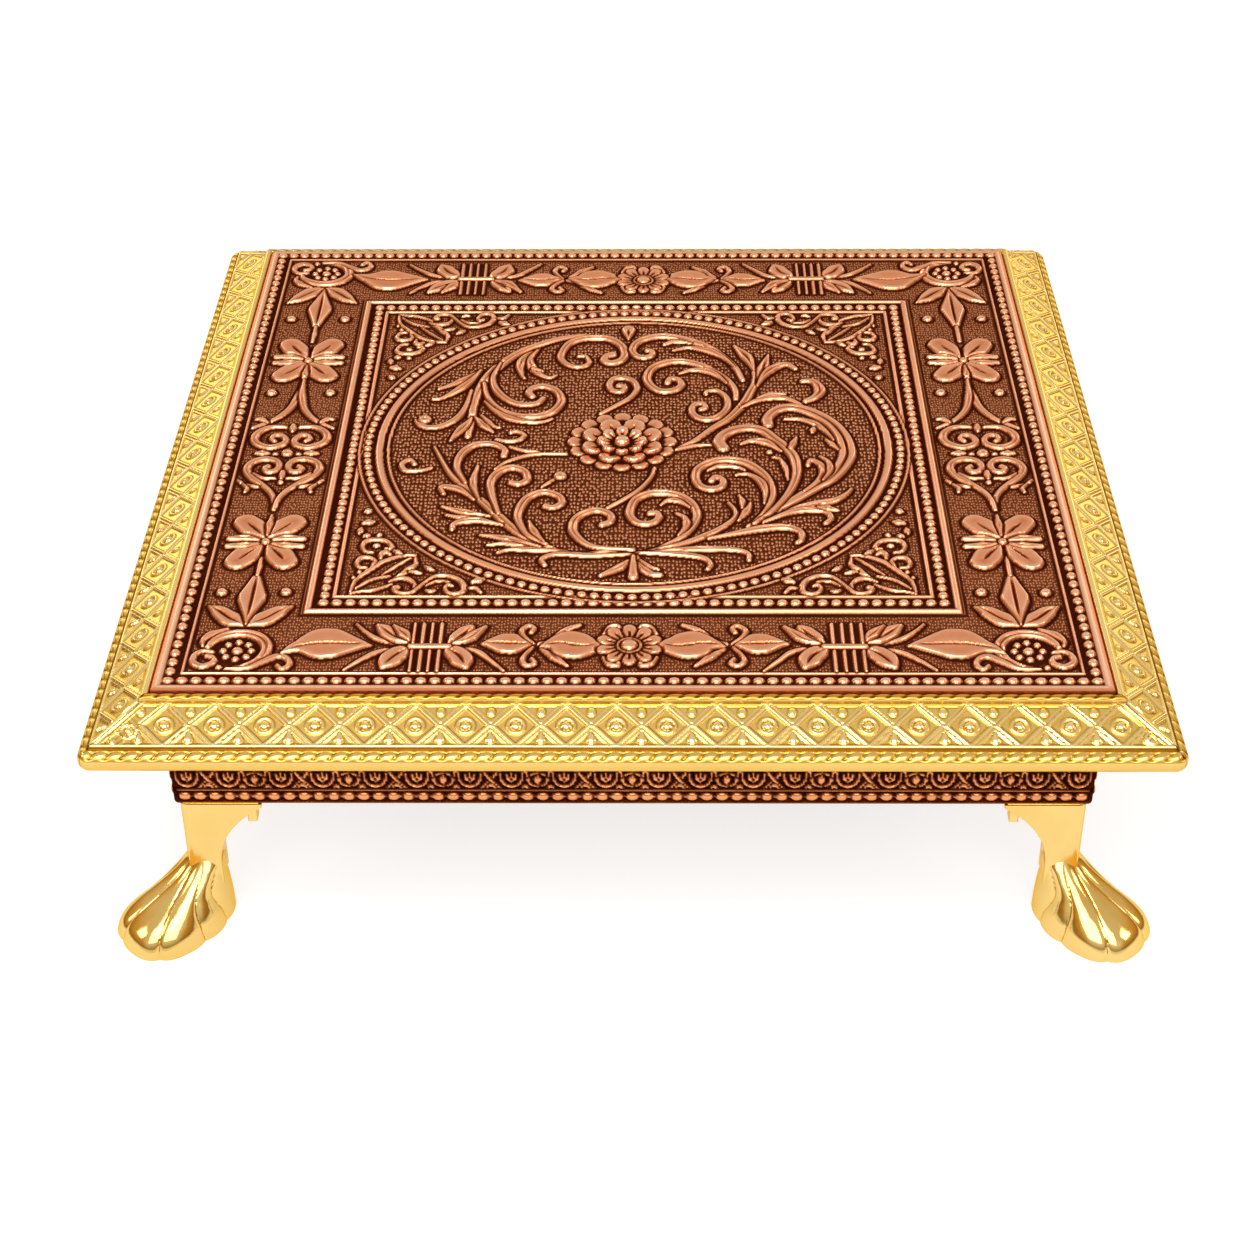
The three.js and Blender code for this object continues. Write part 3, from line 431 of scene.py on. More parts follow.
# A stroke is its half widths at equal shares of its length, then x and y of the places on its path.
# These are the medallion's.
medallionStrokes = [
    # far left quarter
    ([1.3, 2.4, 1.6], [-12, 84.5, -22, 85.5, -32, 83, -42, 77, -50, 70, -57, 60, -62, 50, -65, 38,
                       -66.4, 25, -66.5, 17, -67.2, 2]),
    ([1.2, 2.2, 2.0], [-24, 67.5, -21, 67.5, -19.5, 63, -21, 59.5, -25, 58.5, -29, 61, -31.5, 66, -31, 72,
                       -28, 79, -22, 83, -12, 83, -6, 77, -4.5, 70, -6, 64, -10, 61.5, -13, 63.5, -12.5, 67,
                       -9.5, 69]),
    ([0.9, 2.0, 1.6], [-57, 62, -59.5, 50, -57.5, 39, -52, 30.5, -46, 27, -40.5, 28, -38, 32]),
    ([1.2, 2.2, 1.8], [-63, 45, -61, 34, -56, 24, -48, 18, -40, 17.5, -34, 21, -31, 27, -30.5, 33, -33, 39,
                       -38, 42, -42.5, 40.5, -44, 37, -42.5, 34]),
    ([0.7, 2.0, 0.6], [-62, 30, -57, 22, -50, 15.5, -42, 13, -37, 13.5, -33.5, 16]),
    ([0.8, 2.4, 0.8], [-41.4, 74, -46.7, 67, -48.6, 59.6, -47.5, 52, -46.3, 49]),
    ([0.8, 2.3, 0.7], [-41.8, 73, -44.4, 66, -43.7, 59, -40.6, 53, -36, 49.4, -33, 51.3]),
    ([1.4, 1.2, 0.6], [-43, 57, -38.7, 55]),
    ([0.8, 2.0, 0.8], [-65, 56.6, -71, 48, -78.6, 42, -81.6, 40]),
    ([0.8, 2.2, 0.8], [-65, 56, -69.5, 45, -74.8, 37.6, -80, 32.3, -83.5, 31.5]),
    ([1.0, 1.8, 1.6], [-68, 39, -69.5, 26, -72.5, 16.3, -77.8, 10.3, -83, 8.7, -87, 11, -88.5, 14.8]),
    ([2.6, 3.0, 2.6], [-85.6, 14.9, -85.4, 15.5]),
    ([0.8, 2.5, 0.8], [-66.4, 17, -68.7, 10.3, -72.5, 2.7, -74, -1.5]),
    ([0.8, 2.4, 0.8], [-65, 17, -60.4, 9.5, -57.3, 5.7]),
    ([0.8, 1.6, 0.6], [-62.6, 18.6, -57.3, 10.3, -54.3, 8.7]),
    ([0.7, 2.2, 3.2], [-3, 83, -3, 88, -3, 91]),
    ([1.1, 1.7, 1.6], [-14, 20, -7.2, 27, -1.9, 33, 0.8, 40, -0.4, 46, -4.2, 49, -8.7, 48.6, -10.6, 44.4,
                       -9.5, 39, -5.7, 37.6, -4.2, 41.4, -6.8, 42.5]),
    ([1.1, 1.4, 1.2], [-55.4, -0.3, -51.3, -1.8, -46.7, -1, -44.5, 3, -47.5, 5.7, -50, 5]),
    # far right quarter
    ([1.4, 2.4, 1.6], [45, 47.5, 42.8, 56.6, 39, 65, 33.7, 72.5, 27, 78.6, 19.3, 83, 11.7, 85, 4.8, 83,
                       0.3, 78.6, -1.2, 73.3, 0.3, 68.3, 3.7, 66.4, 6.7, 68, 7.1, 71.8, 5.2, 72.5]),
    ([0.7, 2.2, 0.7], [42, 58.8, 37.5, 66.4, 31.4, 72, 23.8, 75, 19.3, 74, 16, 72.5]),
    ([1.2, 1.6, 0.6], [12.5, 78, 17, 80.5, 24, 79]),
    ([1.4, 2.3, 1.7], [41.7, 32, 41.7, 39, 39.8, 45, 36, 51.3, 31.4, 56.6, 26, 60.7, 20, 63, 13.9, 62.3,
                       8.6, 58.8, 5.6, 53.5, 5.2, 47.5, 7.1, 41.8, 10.9, 38, 16.2, 38.7, 19.3, 43,
                       18.1, 47.5, 14.7, 48.2, 13.6, 45.2]),
    ([0.7, 2.2, 0.7], [38.2, 45.2, 34.4, 51.3, 30, 55, 23.8, 55.8, 18.5, 52.8]),
    ([1.2, 2.0, 1.5], [29.5, 36, 30, 38, 34.4, 38.3, 37.9, 33, 38.2, 27, 36.7, 21, 33, 16.3, 28.4, 15.2,
                       24.6, 18.2, 23.4, 23.2, 24.6, 27, 28, 27.7, 29, 24.7, 27.2, 23.2]),
    ([1.2, 2.2, 0.7], [16, -8.5, 24, -1.5, 31.4, 8, 37.5, 14.8, 41.3, 21, 45, 28.5, 47.4, 36, 49.6, 43.7,
                       50.4, 51.3, 49.6, 58.8, 47.4, 66.4, 45, 71, 42.4, 77]),
    ([0.8, 3.0, 0.8], [50, 56, 48, 65, 45.5, 70.5, 42.4, 77]),
    ([0.8, 3.0, 0.8], [51.2, 45, 53.4, 54, 55, 62, 56.5, 68.7]),
    ([0.8, 2.5, 1.4], [51, 43, 54, 51, 58.5, 57.5, 64, 60.5, 67.5, 57]),
    ([0.8, 2.0, 1.0], [43.6, 24.7, 49.6, 30, 55.7, 32.3, 61.8, 32.3, 66.3, 29.2, 69, 26.2]),
    ([0.6, 1.4, 0.6], [50.4, 32.3, 55.7, 35.7, 62.5, 36]),
    ([1.5, 2.8, 1.6], [70, 46.5, 74, 46, 76.5, 42, 76.5, 37, 74, 32.5, 70.5, 30]),
    ([2.4, 3.8, 1.2], [54.2, 11, 54.2, 16.3, 58, 22.4, 64, 24.7, 70, 22.4, 76.2, 17, 80.8, 10.3, 83.8, 2,
                       84.9, -5.6, 84.6, -13, 81.5, -22, 77, -30, 71, -36, 64, -43.6, 55, -52.7,
                       45, -63.3]),
    ([0.8, 1.9, 0.7], [61, 15.2, 66.3, 15.6, 72.4, 12.5, 77, 6.5, 80, -0.4]),
    ([0.8, 1.6, 0.6], [71.7, 4.9, 72.8, 9.5]),
    ([0.7, 1.6, 0.6], [77, -0.4, 81.5, -7.9]),
    # near right quarter: a fan of stems from the fleur
    ([1.0, 2.3, 1.7], [1, -82, 5.6, -80.8, 13.2, -76.2, 19.3, -70, 23, -62.5, 24.2, -55, 22.3, -48,
                       17.7, -42.8, 11.7, -40.5, 5.6, -41.3, 1, -45, -1.2, -51, -1.2, -57, 1.8, -61.8,
                       6.4, -62.2, 9.4, -58.7, 9, -55, 6.4, -55]),
    ([0.7, 2.0, 0.7], [17, -70, 20, -64, 19.6, -58, 16.2, -54.6]),
    ([0.7, 1.8, 0.6], [10.5, -48.9, 13.2, -45.8, 17.7, -46.6, 21.5, -50.4]),
    ([0.9, 1.8, 0.9], [1, -82, 14.7, -77.7, 24.6, -72.4, 32.2, -66.3, 38.2, -58.7, 39, -52.7, 36.7, -47.4]),
    ([0.7, 2.0, 0.7], [40, -60, 43.6, -52.7, 45, -47.4]),
    ([0.7, 1.6, 0.7], [41.7, -51, 42, -46, 40.9, -42]),
    ([1.2, 2.4, 1.7], [43.6, -64, 49.6, -55.7, 52.7, -47.4, 53.8, -39.8, 52.7, -31.4, 49.6, -24.6,
                       44.3, -18.5, 37.5, -16.2, 30.6, -17.7, 25.3, -23, 24.2, -29, 25.7, -35.2,
                       29.9, -37.9, 34, -36, 34.8, -31.4, 32.2, -29, 30.3, -31.4]),
    ([0.7, 1.7, 0.7], [29, -23.8, 33.7, -20.8, 40.5, -21.5, 43.6, -23.4]),
    ([0.7, 2.0, 0.7], [40, -27.2, 45, -26.8, 49.6, -32.2, 51.2, -39.8, 50.4, -47.4]),
    ([1.2, 2.4, 2.8], [46, -62, 52, -55, 58, -45, 62, -35, 64, -25, 63.7, -15, 61, -7.5, 56.5, -0.5, 52, 6,
                       46.6, 8.3, 40.5, 6.8, 36, 3, 34, -2, 35.5, -7]),
    ([0.8, 2.4, 0.7], [42.8, -3.7, 47.4, -1.4, 53.4, -3.3, 58.7, -9.4]),
    ([0.7, 1.5, 0.6], [55, -14, 58, -15.5, 60, -23, 60.3, -30.7]),
    ([1.3, 1.5, 1.3], [53.8, -10.1, 54, -10]),
    ([0.8, 1.8, 1.5], [65, 1, 62.5, -7]),
    ([1.2, 2.0, 1.0], [68.6, -20, 70, -16.2, 73.9, -20, 74.3, -26, 71.7, -32.2, 66.3, -39]),
    ([0.8, 1.8, 0.8], [73.9, -13.2, 77, -17.7, 77, -24.6, 74, -31]),
    ([0.9, 2.5, 1.0], [51.2, -58.7, 61, -52.7, 70, -48.9, 77.7, -45.8, 82.3, -41.3, 84.6, -37.5]),
    ([0.9, 2.0, 1.3], [49.6, -61, 58.7, -55, 66.3, -52.7, 73.2, -53.4, 75.5, -58, 73.2, -61.8]),
    ([0.9, 2.0, 0.9], [70.9, -50.4, 78.5, -52.7]),
    ([0.9, 2.4, 1.3], [28.4, -72.4, 39.8, -68.6, 49.6, -65.6, 58, -64.8, 63.3, -67.9, 63.3, -73.2,
                       61.8, -75]),
    ([0.9, 2.0, 1.2], [1, -82, 17, -80.4, 28.4, -79.6, 37.5, -80, 42.8, -82.3, 43.2, -86.8]),
    ([0.9, 1.8, 1.2], [1, -82, 13.2, -82.7, 20.8, -83.8, 26.9, -86, 28.8, -89.9, 27.6, -92.9]),
    ([0.8, 2.2, 1.4], [1, -83, 2.6, -90.6, 6.4, -95.9, 10, -96.7]),
    ([0.6, 1.3, 0.8], [2.6, -86.8, 6.4, -91.4, 9.4, -92.9]),
    ([1.0, 1.3, 1.0], [8, -22, 6.5, -29, 2, -38, -4, -45, -10, -51, -12, -54]),
    ([0.9, 1.2, 0.8], [16, -8.5, 24.6, -5.2, 30.6, -4.8]),
    # near left quarter
    ([1.2, 2.3, 0.8], [0, -79, -20, -83, -35, -77, -45, -67, -55, -52, -65, -37, -72, -27, -80, -6]),
    ([1.0, 2.2, 1.7], [0, -80, -15, -78, -22, -70, -23, -62, -20, -56, -14, -53, -9, -56, -9, -61,
                       -12, -63]),
    ([1.2, 2.2, 1.7], [-33, -76, -40, -70, -44, -60, -44, -52, -41, -44, -35, -40, -29, -43, -28, -48,
                       -31, -51, -34, -50]),
    ([0.7, 2.0, 0.7], [-34, -74, -38, -67, -40, -60]),
    ([1.2, 2.2, 1.7], [-52, -55, -55, -42, -56, -32, -53, -25, -48, -22, -43, -25, -42, -31, -45, -34,
                       -48, -33]),
    ([0.7, 2.0, 0.7], [-60, -45, -63, -33, -62, -20]),
    ([1.2, 2.1, 1.6], [-66, -33, -70, -22, -69, -12, -64, -5, -57, -4, -52, -8, -52, -13]),
    ([0.9, 1.5, 1.3], [-80, -22, -84, -24, -90, -24, -92, -19, -89, -16, -87, -19]),
    ([0.8, 2.0, 1.1], [-62, -45, -68, -38, -75, -36, -74, -41]),
    ([0.8, 2.2, 0.8], [-55, -57, -66, -54, -74, -50]),
    ([0.8, 1.6, 0.8], [-58, -58, -66, -58, -72, -56]),
    ([0.8, 2.2, 1.2], [-50, -63, -60, -60, -68, -62, -69, -66]),
    ([0.8, 2.2, 0.8], [-35, -78, -50, -72, -58, -70]),
    ([0.8, 1.6, 0.8], [-38, -79, -48, -76, -55, -77]),
    ([0.8, 1.8, 0.8], [-25, -81, -45, -80, -51, -82]),
    ([0.9, 1.7, 1.3], [0, -83, -15, -84, -28, -83, -34, -86, -33, -90]),
    ([0.8, 2.2, 1.2], [0, -85, -5, -92, -12, -97]),
    ([1.0, 1.7, 2.2], [0, -84, 0, -91, 0, -98]),
    ([0.9, 1.2, 0.8], [-27, -11.5, -40, -12, -50, -17, -55, -23]),
    ([0.7, 1.2, 0.8], [-38, -10, -44, -9, -50, -6]),
    ([0.7, 1.0, 0.7], [-36, -36, -31, -30]),
    ([2.4, 2.8, 2.4], [-29.4, -28, -28.6, -28]),
]

# One corner between the ring and the inner ridge.
spandrelStrokes = [
    ([0.7, 1.5, 0.7], [-103.5, -108.7, -102.4, -101.5, -99.1, -96.5, -94.7, -90.7, -90.1, -87.1,
                       -85.6, -85.2, -81.3, -84.9]),
    ([0.5, 0.9, 0.6], [-92.8, -97.9, -89.4, -93.7, -86.1, -89.9, -83, -86.8]),
    ([0.5, 0.9, 0.6], [-101.8, -106.7, -98.5, -102.9, -95, -100.4, -89.9, -98.7]),
    ([0.7, 1.7, 0.8], [-81.3, -86.5, -81, -91, -83.2, -94.3, -85.9, -98.2, -89.9, -102]),
    ([0.6, 1.0, 0.6], [-103.4, -110, -99.8, -108.7, -95.8, -108.1, -91.9, -106.2, -88.7, -104]),
    ([0.6, 1.5, 0.6], [-89.8, -102.3, -86.9, -100.6, -84.1, -100.4, -81.8, -101.5, -80.4, -103.7,
                       -80.3, -106.2]),
    ([1.3, 0.8, 1.5, 0.9], [-86.4, -105.9, -87.6, -106.4, -86.7, -108.7, -84.1, -109.9, -81.1, -109.2,
                            -78.9, -106.2, -76.2, -102, -73.4, -99, -70.3, -98.2, -66.5, -99.3, -63.4, -102,
                            -62, -105.9, -62.7, -109.2, -65.4, -110.3, -67.7, -109.2, -68.9, -106.4,
                            -67.9, -104.2, -66.3, -105.1]),
    ([0.5, 0.8, 0.5], [-76, -104.9, -73.1, -102.4, -70, -101.9, -67.6, -102.3]),
    ([0.8, 1.5, 1.1], [-97.6, -83.2, -100.2, -82.4, -101.7, -79.9, -101.6, -76.6, -99.7, -74.9,
                       -96.9, -74.6, -93.8, -75.2, -91.7, -77.1, -90.9, -79.3, -91.6, -81, -92.9, -80.7]),
    ([1.1, 1.3, 1.1], [-97.3, -78.5, -96, -78.3]),
    ([0.8, 1.4, 0.9], [-97, -91.2, -96.1, -89, -97.4, -87.1, -99.5, -86.5, -101.9, -87.1, -102.9, -89.9,
                       -102, -92.6, -100.4, -93.2, -99.1, -93.2]),
    ([1.0, 1.2, 1.0], [-101.5, -95.9, -101.3, -95.9]),
    ([0.8, 1.0, 0.8], [-103.4, -99.5, -103.2, -99.5]),
    ([0.8, 1.6, 1.0], [-94.3, -87.1, -94.3, -84.3, -92.7, -82.9, -91.1, -84.3]),
    ([0.6, 1.5, 0.6], [-90, -81.8, -88.2, -82.9, -86.5, -84.3]),
    ([0.6, 1.3, 0.6], [-83, -95.7, -80.8, -96, -78.4, -96.8]),
    ([0.6, 1.5, 0.6], [-77.4, -92.3, -75.7, -93.7, -73.8, -95.1]),
    ([0.6, 1.3, 0.6], [-75.9, -107.8, -74, -108.7, -72.4, -108.1]),
    ([0.6, 1.2, 0.8], [-60.2, -106.4, -57.7, -106.4, -55.6, -109.2]),
    ([1.0, 1.5, 0.7], [-101.9, -71.9, -99.9, -71.6]),
    ([0.8, 1.3, 0.6], [-96.8, -71.5, -95.6, -70.5]),
    ([1.2, 1.9, 0.8], [-103, -63, -99, -62]),
    ([1.0, 1.7, 0.8], [-103, -55, -101, -54]),
    ([1.2, 1.9, 0.8], [-59, -102.5, -55, -100.5]),
    ([0.8, 1.6, 0.8], [-104, -70, -103.5, -66.5]),
]

# Near half of the left border, from its corner rosette to the row of buds between the two hearts.
sideCornerStrokes = [
    ([1.0, 2.2, 2.6, 2.2, 1.2], [-151.5, -146, -149.8, -140, -145.5, -135.6, -139.8, -134, -134, -135.6,
                                 -130.4, -139.6, -129.6, -144.5, -131.4, -150, -136, -153.5, -141, -154.5]),
    ([0.8, 1.7, 1.2], [-142.5, -155, -135, -154.5, -130, -151, -125, -147.5, -121.5, -149, -120.5, -152.5,
                       -122.5, -155, -124.5, -153]),
    ([0.8, 1.9, 0.8], [-152.5, -141, -153, -138, -150, -134, -145, -131]),
    ([1.0, 1.7, 1.3], [-148, -145, -152, -144.5, -154.5, -147, -154.5, -151, -151, -153.5, -147.5, -151.5,
                       -147.5, -148.5, -150, -147.5]),
    ([1.2, 1.4, 1.2], [-145.1, -154, -144.9, -154]),
]
sideEndStrokes = bothWays([
    ([0.8, 4.4, 3.6, 0.6], [-139.5, -129, -145, -125, -150, -120, -154, -117]),
], -138.8) + [
    ([0.6, 3.0, 5.6, 3.2, 1.0], [-139, -128, -139, -120, -139, -109, -139, -100, -139, -95]),
    ([1.0, 1.2, 1.0], [-139, -97, -139, -91, -139, -85]),
]
sideBeadStrokes = [
    ([2.1, 2.3, 2.1], [-150.6, -108, -150.4, -108]),
    ([2.1, 2.3, 2.1], [-127.1, -107.8, -126.9, -107.8]),
]
sideFlowerStrokes = bothWays([
    ([0.8, 3.6, 5.8, 5.2], [-139.5, -72, -144, -66, -147.8, -61.5]),
    ([0.8, 3.6, 5.8, 5.2], [-140, -77, -144.5, -83, -147.6, -88]),
], -138.8) + bothWays([
    ([0.6, 2.2, 1.4], [-140, -74, -146, -72.4, -153, -72.6]),
    ([0.6, 2.2, 1.4], [-140, -75.5, -146, -77.4, -153, -77.6]),
], -138.8) + [
    ([0.8, 1.8, 0.7], [-138.8, -70, -138.8, -62, -138.8, -56]),
    ([1.8, 2.0, 1.8], [-138.9, -74.6, -138.7, -74.6]),
]
sideHeartStrokes = [
    ([1.2, 1.9, 1.5], [-138.8, -52, -139.5, -45, -142, -39, -146, -34, -150.5, -29, -153, -23, -151.5, -18,
                       -147, -15.5, -142.5, -16.5, -140.5, -20, -141.5, -24, -144.5, -25, -146, -22.5,
                       -144.8, -21]),
    ([1.2, 1.9, 1.5], [-138.7, -52, -137.9, -45, -135.4, -39, -131.4, -34, -126.9, -29, -124.4, -23,
                       -125.9, -18, -130.4, -15.5, -134.9, -16.5, -136.9, -20, -135.9, -24, -132.9, -25,
                       -131.4, -22.5, -132.6, -21]),
] + bothWays([
    ([0.7, 1.2, 0.8], [-150, -26, -146, -29.5, -141, -29.8]),
], -138.7) + [
    ([0.8, 1.6, 1.4], [-138.6, -30, -138.5, -25]),
    ([1.2, 1.4, 1.2], [-138.5, -32.6, -138.4, -32.5]),
] + bothWays([
    ([0.7, 1.4, 1.0], [-155.5, -31, -152, -34.5, -147, -36]),
    ([0.7, 1.2, 0.9], [-153, -34, -151, -37, -151.5, -39.5]),
], -138.7)
# The two scrolls beyond that row, and the stems that come down to them from the far flower.
farHeartStrokes = bothWays([
    ([1.0, 2.0, 1.8, 1.3], [-138.5, 8.7, -146, 9.4, -150.2, 7.2, -153, 2.5, -152, -3.1, -146.5, -6.6,
                            -141.5, -4.6, -140.2, -0.9, -142.3, 2.6, -145.2, 2.6, -146.2, 0.2,
                            -144.8, -1.6]),
], -138.5) + [
    ([1.4, 1.8, 1.0], [-138.6, 10.6, -138.5, 6]),
] + bothWays([
    ([0.9, 1.9, 1.6, 1.0], [-138.7, 48, -139.4, 36, -141.4, 25, -145, 17.7, -149.5, 12.8, -155, 8.6]),
], -138.7) + bothWays([
    ([1.0, 1.6, 0.9], [-149.6, 13.2, -152, 15.4, -154.5, 15.6]),
], -138.7) + [
    ([2.1, 2.3, 2.1], [-151, 37, -150.8, 37]),
    ([2.1, 2.3, 2.1], [-126.6, 37, -126.4, 37]),
]
sideMiddleStrokes = [
    ([2.4, 2.6, 2.4], [-138.6, -11, -138.4, -11]),
] + bothWays([
    ([1.0, 1.9, 1.0], [-151, -11, -146, -11]),
], -138.7) + [
    ([0.7, 1.1, 0.7], [-144, -11.5, -142.4, -11.5]),
    ([0.7, 1.1, 0.7], [-134.8, -11.5, -133.2, -11.5]),
]

# Left half of the near border, from the corner to the daisy in its middle.
frontStrokes = [
    ([0.8, 4, 9.5, 5, 0.6], [-128, -145.5, -122, -142, -113, -140, -103, -140.5, -95.5, -141]),
    ([0.7, 1.4, 0.7], [-82, -140.5, -92, -138, -98, -133, -102, -128]),
    ([0.7, 1.4, 0.7], [-82, -142, -92, -144.5, -99, -150, -104, -155.5]),
    ([0.7, 1.4, 0.7], [-67, -142, -57, -144, -51, -150, -46, -156]),
    ([0.8, 3.4, 3.6, 1.2], [-82, -139.5, -88, -135, -94, -128.8]),
    ([0.8, 2.6, 1.0], [-80, -139, -84, -134, -88, -129]),
    ([0.8, 3.4, 3.6, 1.2], [-67, -139.5, -62, -134, -59, -129.4]),
    ([0.8, 2.6, 1.0], [-66, -140, -60, -137, -54, -129.5]),
    ([0.8, 4.2, 4.6, 1.6], [-81, -143, -86, -147, -90, -153.6]),
    ([0.8, 4.2, 4.6, 1.6], [-68, -143, -63, -147, -60, -153.6]),
] + [([0.75, 0.8, 0.75], [x, -127.5, x, -156]) for x in (-80.3, -77, -73.7, -70.3)] + [
    ([1.5, 1.6, 1.5], [-81, -141.5, -67, -141.5]),
    ([0.6, 3.5, 6.5, 3, 0.6], [-55, -140, -46, -140, -35, -141]),
    ([0.7, 1.4, 1.2], [-35.5, -140, -39, -136, -40.5, -132, -38, -129, -36, -130.5, -37, -133]),
    ([0.7, 1.4, 1.2], [-36, -142, -38.5, -146, -39.5, -150, -37.5, -153, -35, -151.5, -36, -149]),
    ([0.8, 2.3, 1.0], [-34, -140, -28, -137, -23, -131, -19, -128.5]),
    ([0.8, 2.0, 0.8], [-33, -143, -28, -148, -23, -153]),
    ([0.8, 4, 8.5, 5, 0.8], [-33, -141.5, -26, -140, -18, -141.5, -10, -140.5]),
    ([0.8, 1.4, 1.1], [-10, -134, -8, -130, -5, -129, -4.5, -131.5]),
    ([0.8, 1.4, 1.1], [-10, -148, -8, -152, -5, -153, -4.5, -150.5]),
]


# Rows of beads along the four sides of a square: counts along x, with both corners, and along y between.
def beadSquare(field, half, beads):
    x, y = beads["middle"]
    halfU, halfV = beads["size"]
    for end in (-1, 1):
        for share in np.linspace(-1, 1, beads["counts"][0] + 1):
            stampDome(field, x + share * half, y + end * half, halfV, halfU, relief)
    for end in (-1, 1):
        for share in np.linspace(-1, 1, beads["counts"][1] + 1)[1:-1]:
            stampDome(field, x + end * half, y + share * half, halfU, halfV, relief)


# How far each place lies out: by the larger of both ways for the sheet and for the inner frame, and by
# the root of the sum of their squares for the ring, whose second way is a little stretched.
def panelPlaces(field):
    x, y = field["u"][None, :], field["v"][:, None]
    (fx, fy), (cx, cy) = panel["frameMiddle"], panel["ringMiddle"]
    outer = np.maximum(abs(x), abs(y))
    inner = np.maximum(abs(x - fx), abs(y - fy))
    return field["u"][-1], outer, inner, np.hypot(x - cx, (y - cy) / panel["ringStretch"])


# The panel's lines and beads: ridges where a distance out has one value, and beads along the squares
# and at equal angles round the ring.
def stampLines(field):
    half, outer, inner, ring = panelPlaces(field)
    inset, halfWidth, tall = panel["outerLine"]
    stampRidge(field, abs(outer - (half - inset)), halfWidth, tall, relief)
    for inset, halfWidth, tall in panel["frameLines"]:
        stampRidge(field, abs(inner - (half - inset)), halfWidth, tall, relief)
    beadSquare(field, half - panel["outerBeads"]["inset"], panel["outerBeads"])
    beadSquare(field, panel["innerBeads"]["half"], panel["innerBeads"])
    for radius, halfWidth, tall in panel["ringLines"]:
        stampRidge(field, abs(ring - radius), halfWidth, tall, relief)
    (cx, cy), beads = panel["ringMiddle"], panel["ringBeads"]
    for angle in fullTurn(beads["count"]):
        x = cx + beads["radius"] * math.cos(angle)
        y = cy + beads["radius"] * panel["ringStretch"] * math.sin(angle)
        stampDome(field, x, y, *beads["size"], relief, turn=angle)


# All strokes, stamped in turn: the medallion's as drawn, and those of one corner, one side and half the
# front also as mirror images, each factor times its places and a shift added.
def stampOrnament(field):
    strokes = list(medallionStrokes)
    for xFactor in (1, -1):
        for yFactor, yShift in panel["spandrels"]:
            strokes += moved(moved(spandrelStrokes, 1, 0, yFactor, yShift), xFactor)
    turnedOver = [sideCornerStrokes, sideEndStrokes, sideBeadStrokes, sideFlowerStrokes]
    side = sum(turnedOver, []) + sideHeartStrokes + sideMiddleStrokes
    for part, (yFactor, yShift) in zip(turnedOver, panel["farParts"]):
        side += moved(part, 1, 0, yFactor, yShift)
    side += farHeartStrokes
    strokes += side + moved(side, -1, panel["sideShift"])
    for middle, stretch, yFactor, yShift in panel["frontHalves"]:
        strokes += moved(frontStrokes, stretch, middle - panel["frontDrawnAbout"] * stretch, yFactor, yShift)
    for stroke in strokes:
        stampStroke(field, stroke, relief)


# A ring of petals about a middle, all alike: the angle is folded into one petal, whose outline is an
# oval. It climbs outwards to a raised rim, and a crease runs in from its inner end.
def petalRing(field, x, y, count, radius, halfU, halfV, start=0.0, foot=0.4, tall=1.0, crease=0.5):
    reach = radius + halfU + 2
    columns, rows = windowOf(field["u"], x - reach, x + reach), windowOf(field["v"], y - reach, y + reach)
    u, v = field["u"][columns][None, :] - x, field["v"][rows][:, None] - y
    out, angle = np.hypot(u, v), np.arctan2(v, u) - start
    wide = 2 * math.pi / count
    folded = angle - np.round(angle / wide) * wide
    a, b = out * np.cos(folded) - radius, out * np.sin(folded)
    ratio = np.hypot(a / halfU, b / halfV)
    edge = (ratio - 1) * min(halfU, halfV)
    seam = np.exp(-((wide / 2 - abs(folded)) * out / 0.55) ** 2)
    climb = foot + (tall - foot) * smoothStep((a / halfU + 0.7) / 1.3)
    cut = crease * np.exp(-(b / 0.45) ** 2) * smoothStep((0.35 - a / halfU) / 0.5)
    hollow = 0.3 * np.exp(-(ratio / 0.55) ** 2)
    top = climb * np.sin(np.clip(-edge / 0.55, 0, 1) * quarter) - hollow - cut
    layOver(field, rows, columns, edge, np.maximum(top - 0.85 * tall * seam, 0.0), relief["cut"])


# Daisy in the middle of the near and the far border: ten petals, a cleared disc, a thin ring and a dome.
def stampDaisy(field, x, y):
    petalRing(field, x, y, count=10, radius=8.0, halfU=4.2, halfV=2.9, start=quarter, foot=0.7, tall=1.2,
              crease=0.8)
    stampDome(field, x, y, 4.9, 4.9, relief, tall=0.0)
    fromMiddle = np.hypot(field["u"][None, :] - x, field["v"][:, None] - y)
    stampRidge(field, abs(fromMiddle - 4.1), halfWidth=0.5, tall=0.6, relief=relief)
    stampDome(field, x, y, 3.0, 3.2, relief, tall=1.2)


# Corner flower: a cleared disc with a bead in its middle and smaller beads round it.
def stampCornerFlower(field, x, y):
    flowers = panel["cornerFlowers"]
    stampDome(field, x, y, 7.6, 7.6, relief, tall=0.0)
    stampDome(field, x, y, 2.0, 2.0, relief)
    for angle in fullTurn(flowers["beads"]):
        stampDome(field, x + flowers["radius"] * math.cos(angle), y + flowers["radius"] * math.sin(angle),
                  1.4, 1.4, relief)


# Rosette in the middle of the medallion: three rings of petals, each laid over the last, and a dome.
def stampRosette(field, x, y):
    petalRing(field, x, y, count=16, radius=17.5, halfU=4.6, halfV=4.0, foot=0.0, tall=1.2, crease=0.0)
    petalRing(field, x, y, count=8, radius=11.9, halfU=5.2, halfV=4.7, start=0.39, foot=0.1, tall=1.9,
              crease=1.2)
    petalRing(field, x, y, count=8, radius=6.8, halfU=3.5, halfV=3.0, foot=0.6, tall=2.15, crease=1.0)
    stampDome(field, x, y, 4.5, 4.5, relief, tall=0.0)
    stampDome(field, x, y, 3.2, 3.4, relief, tall=1.9)


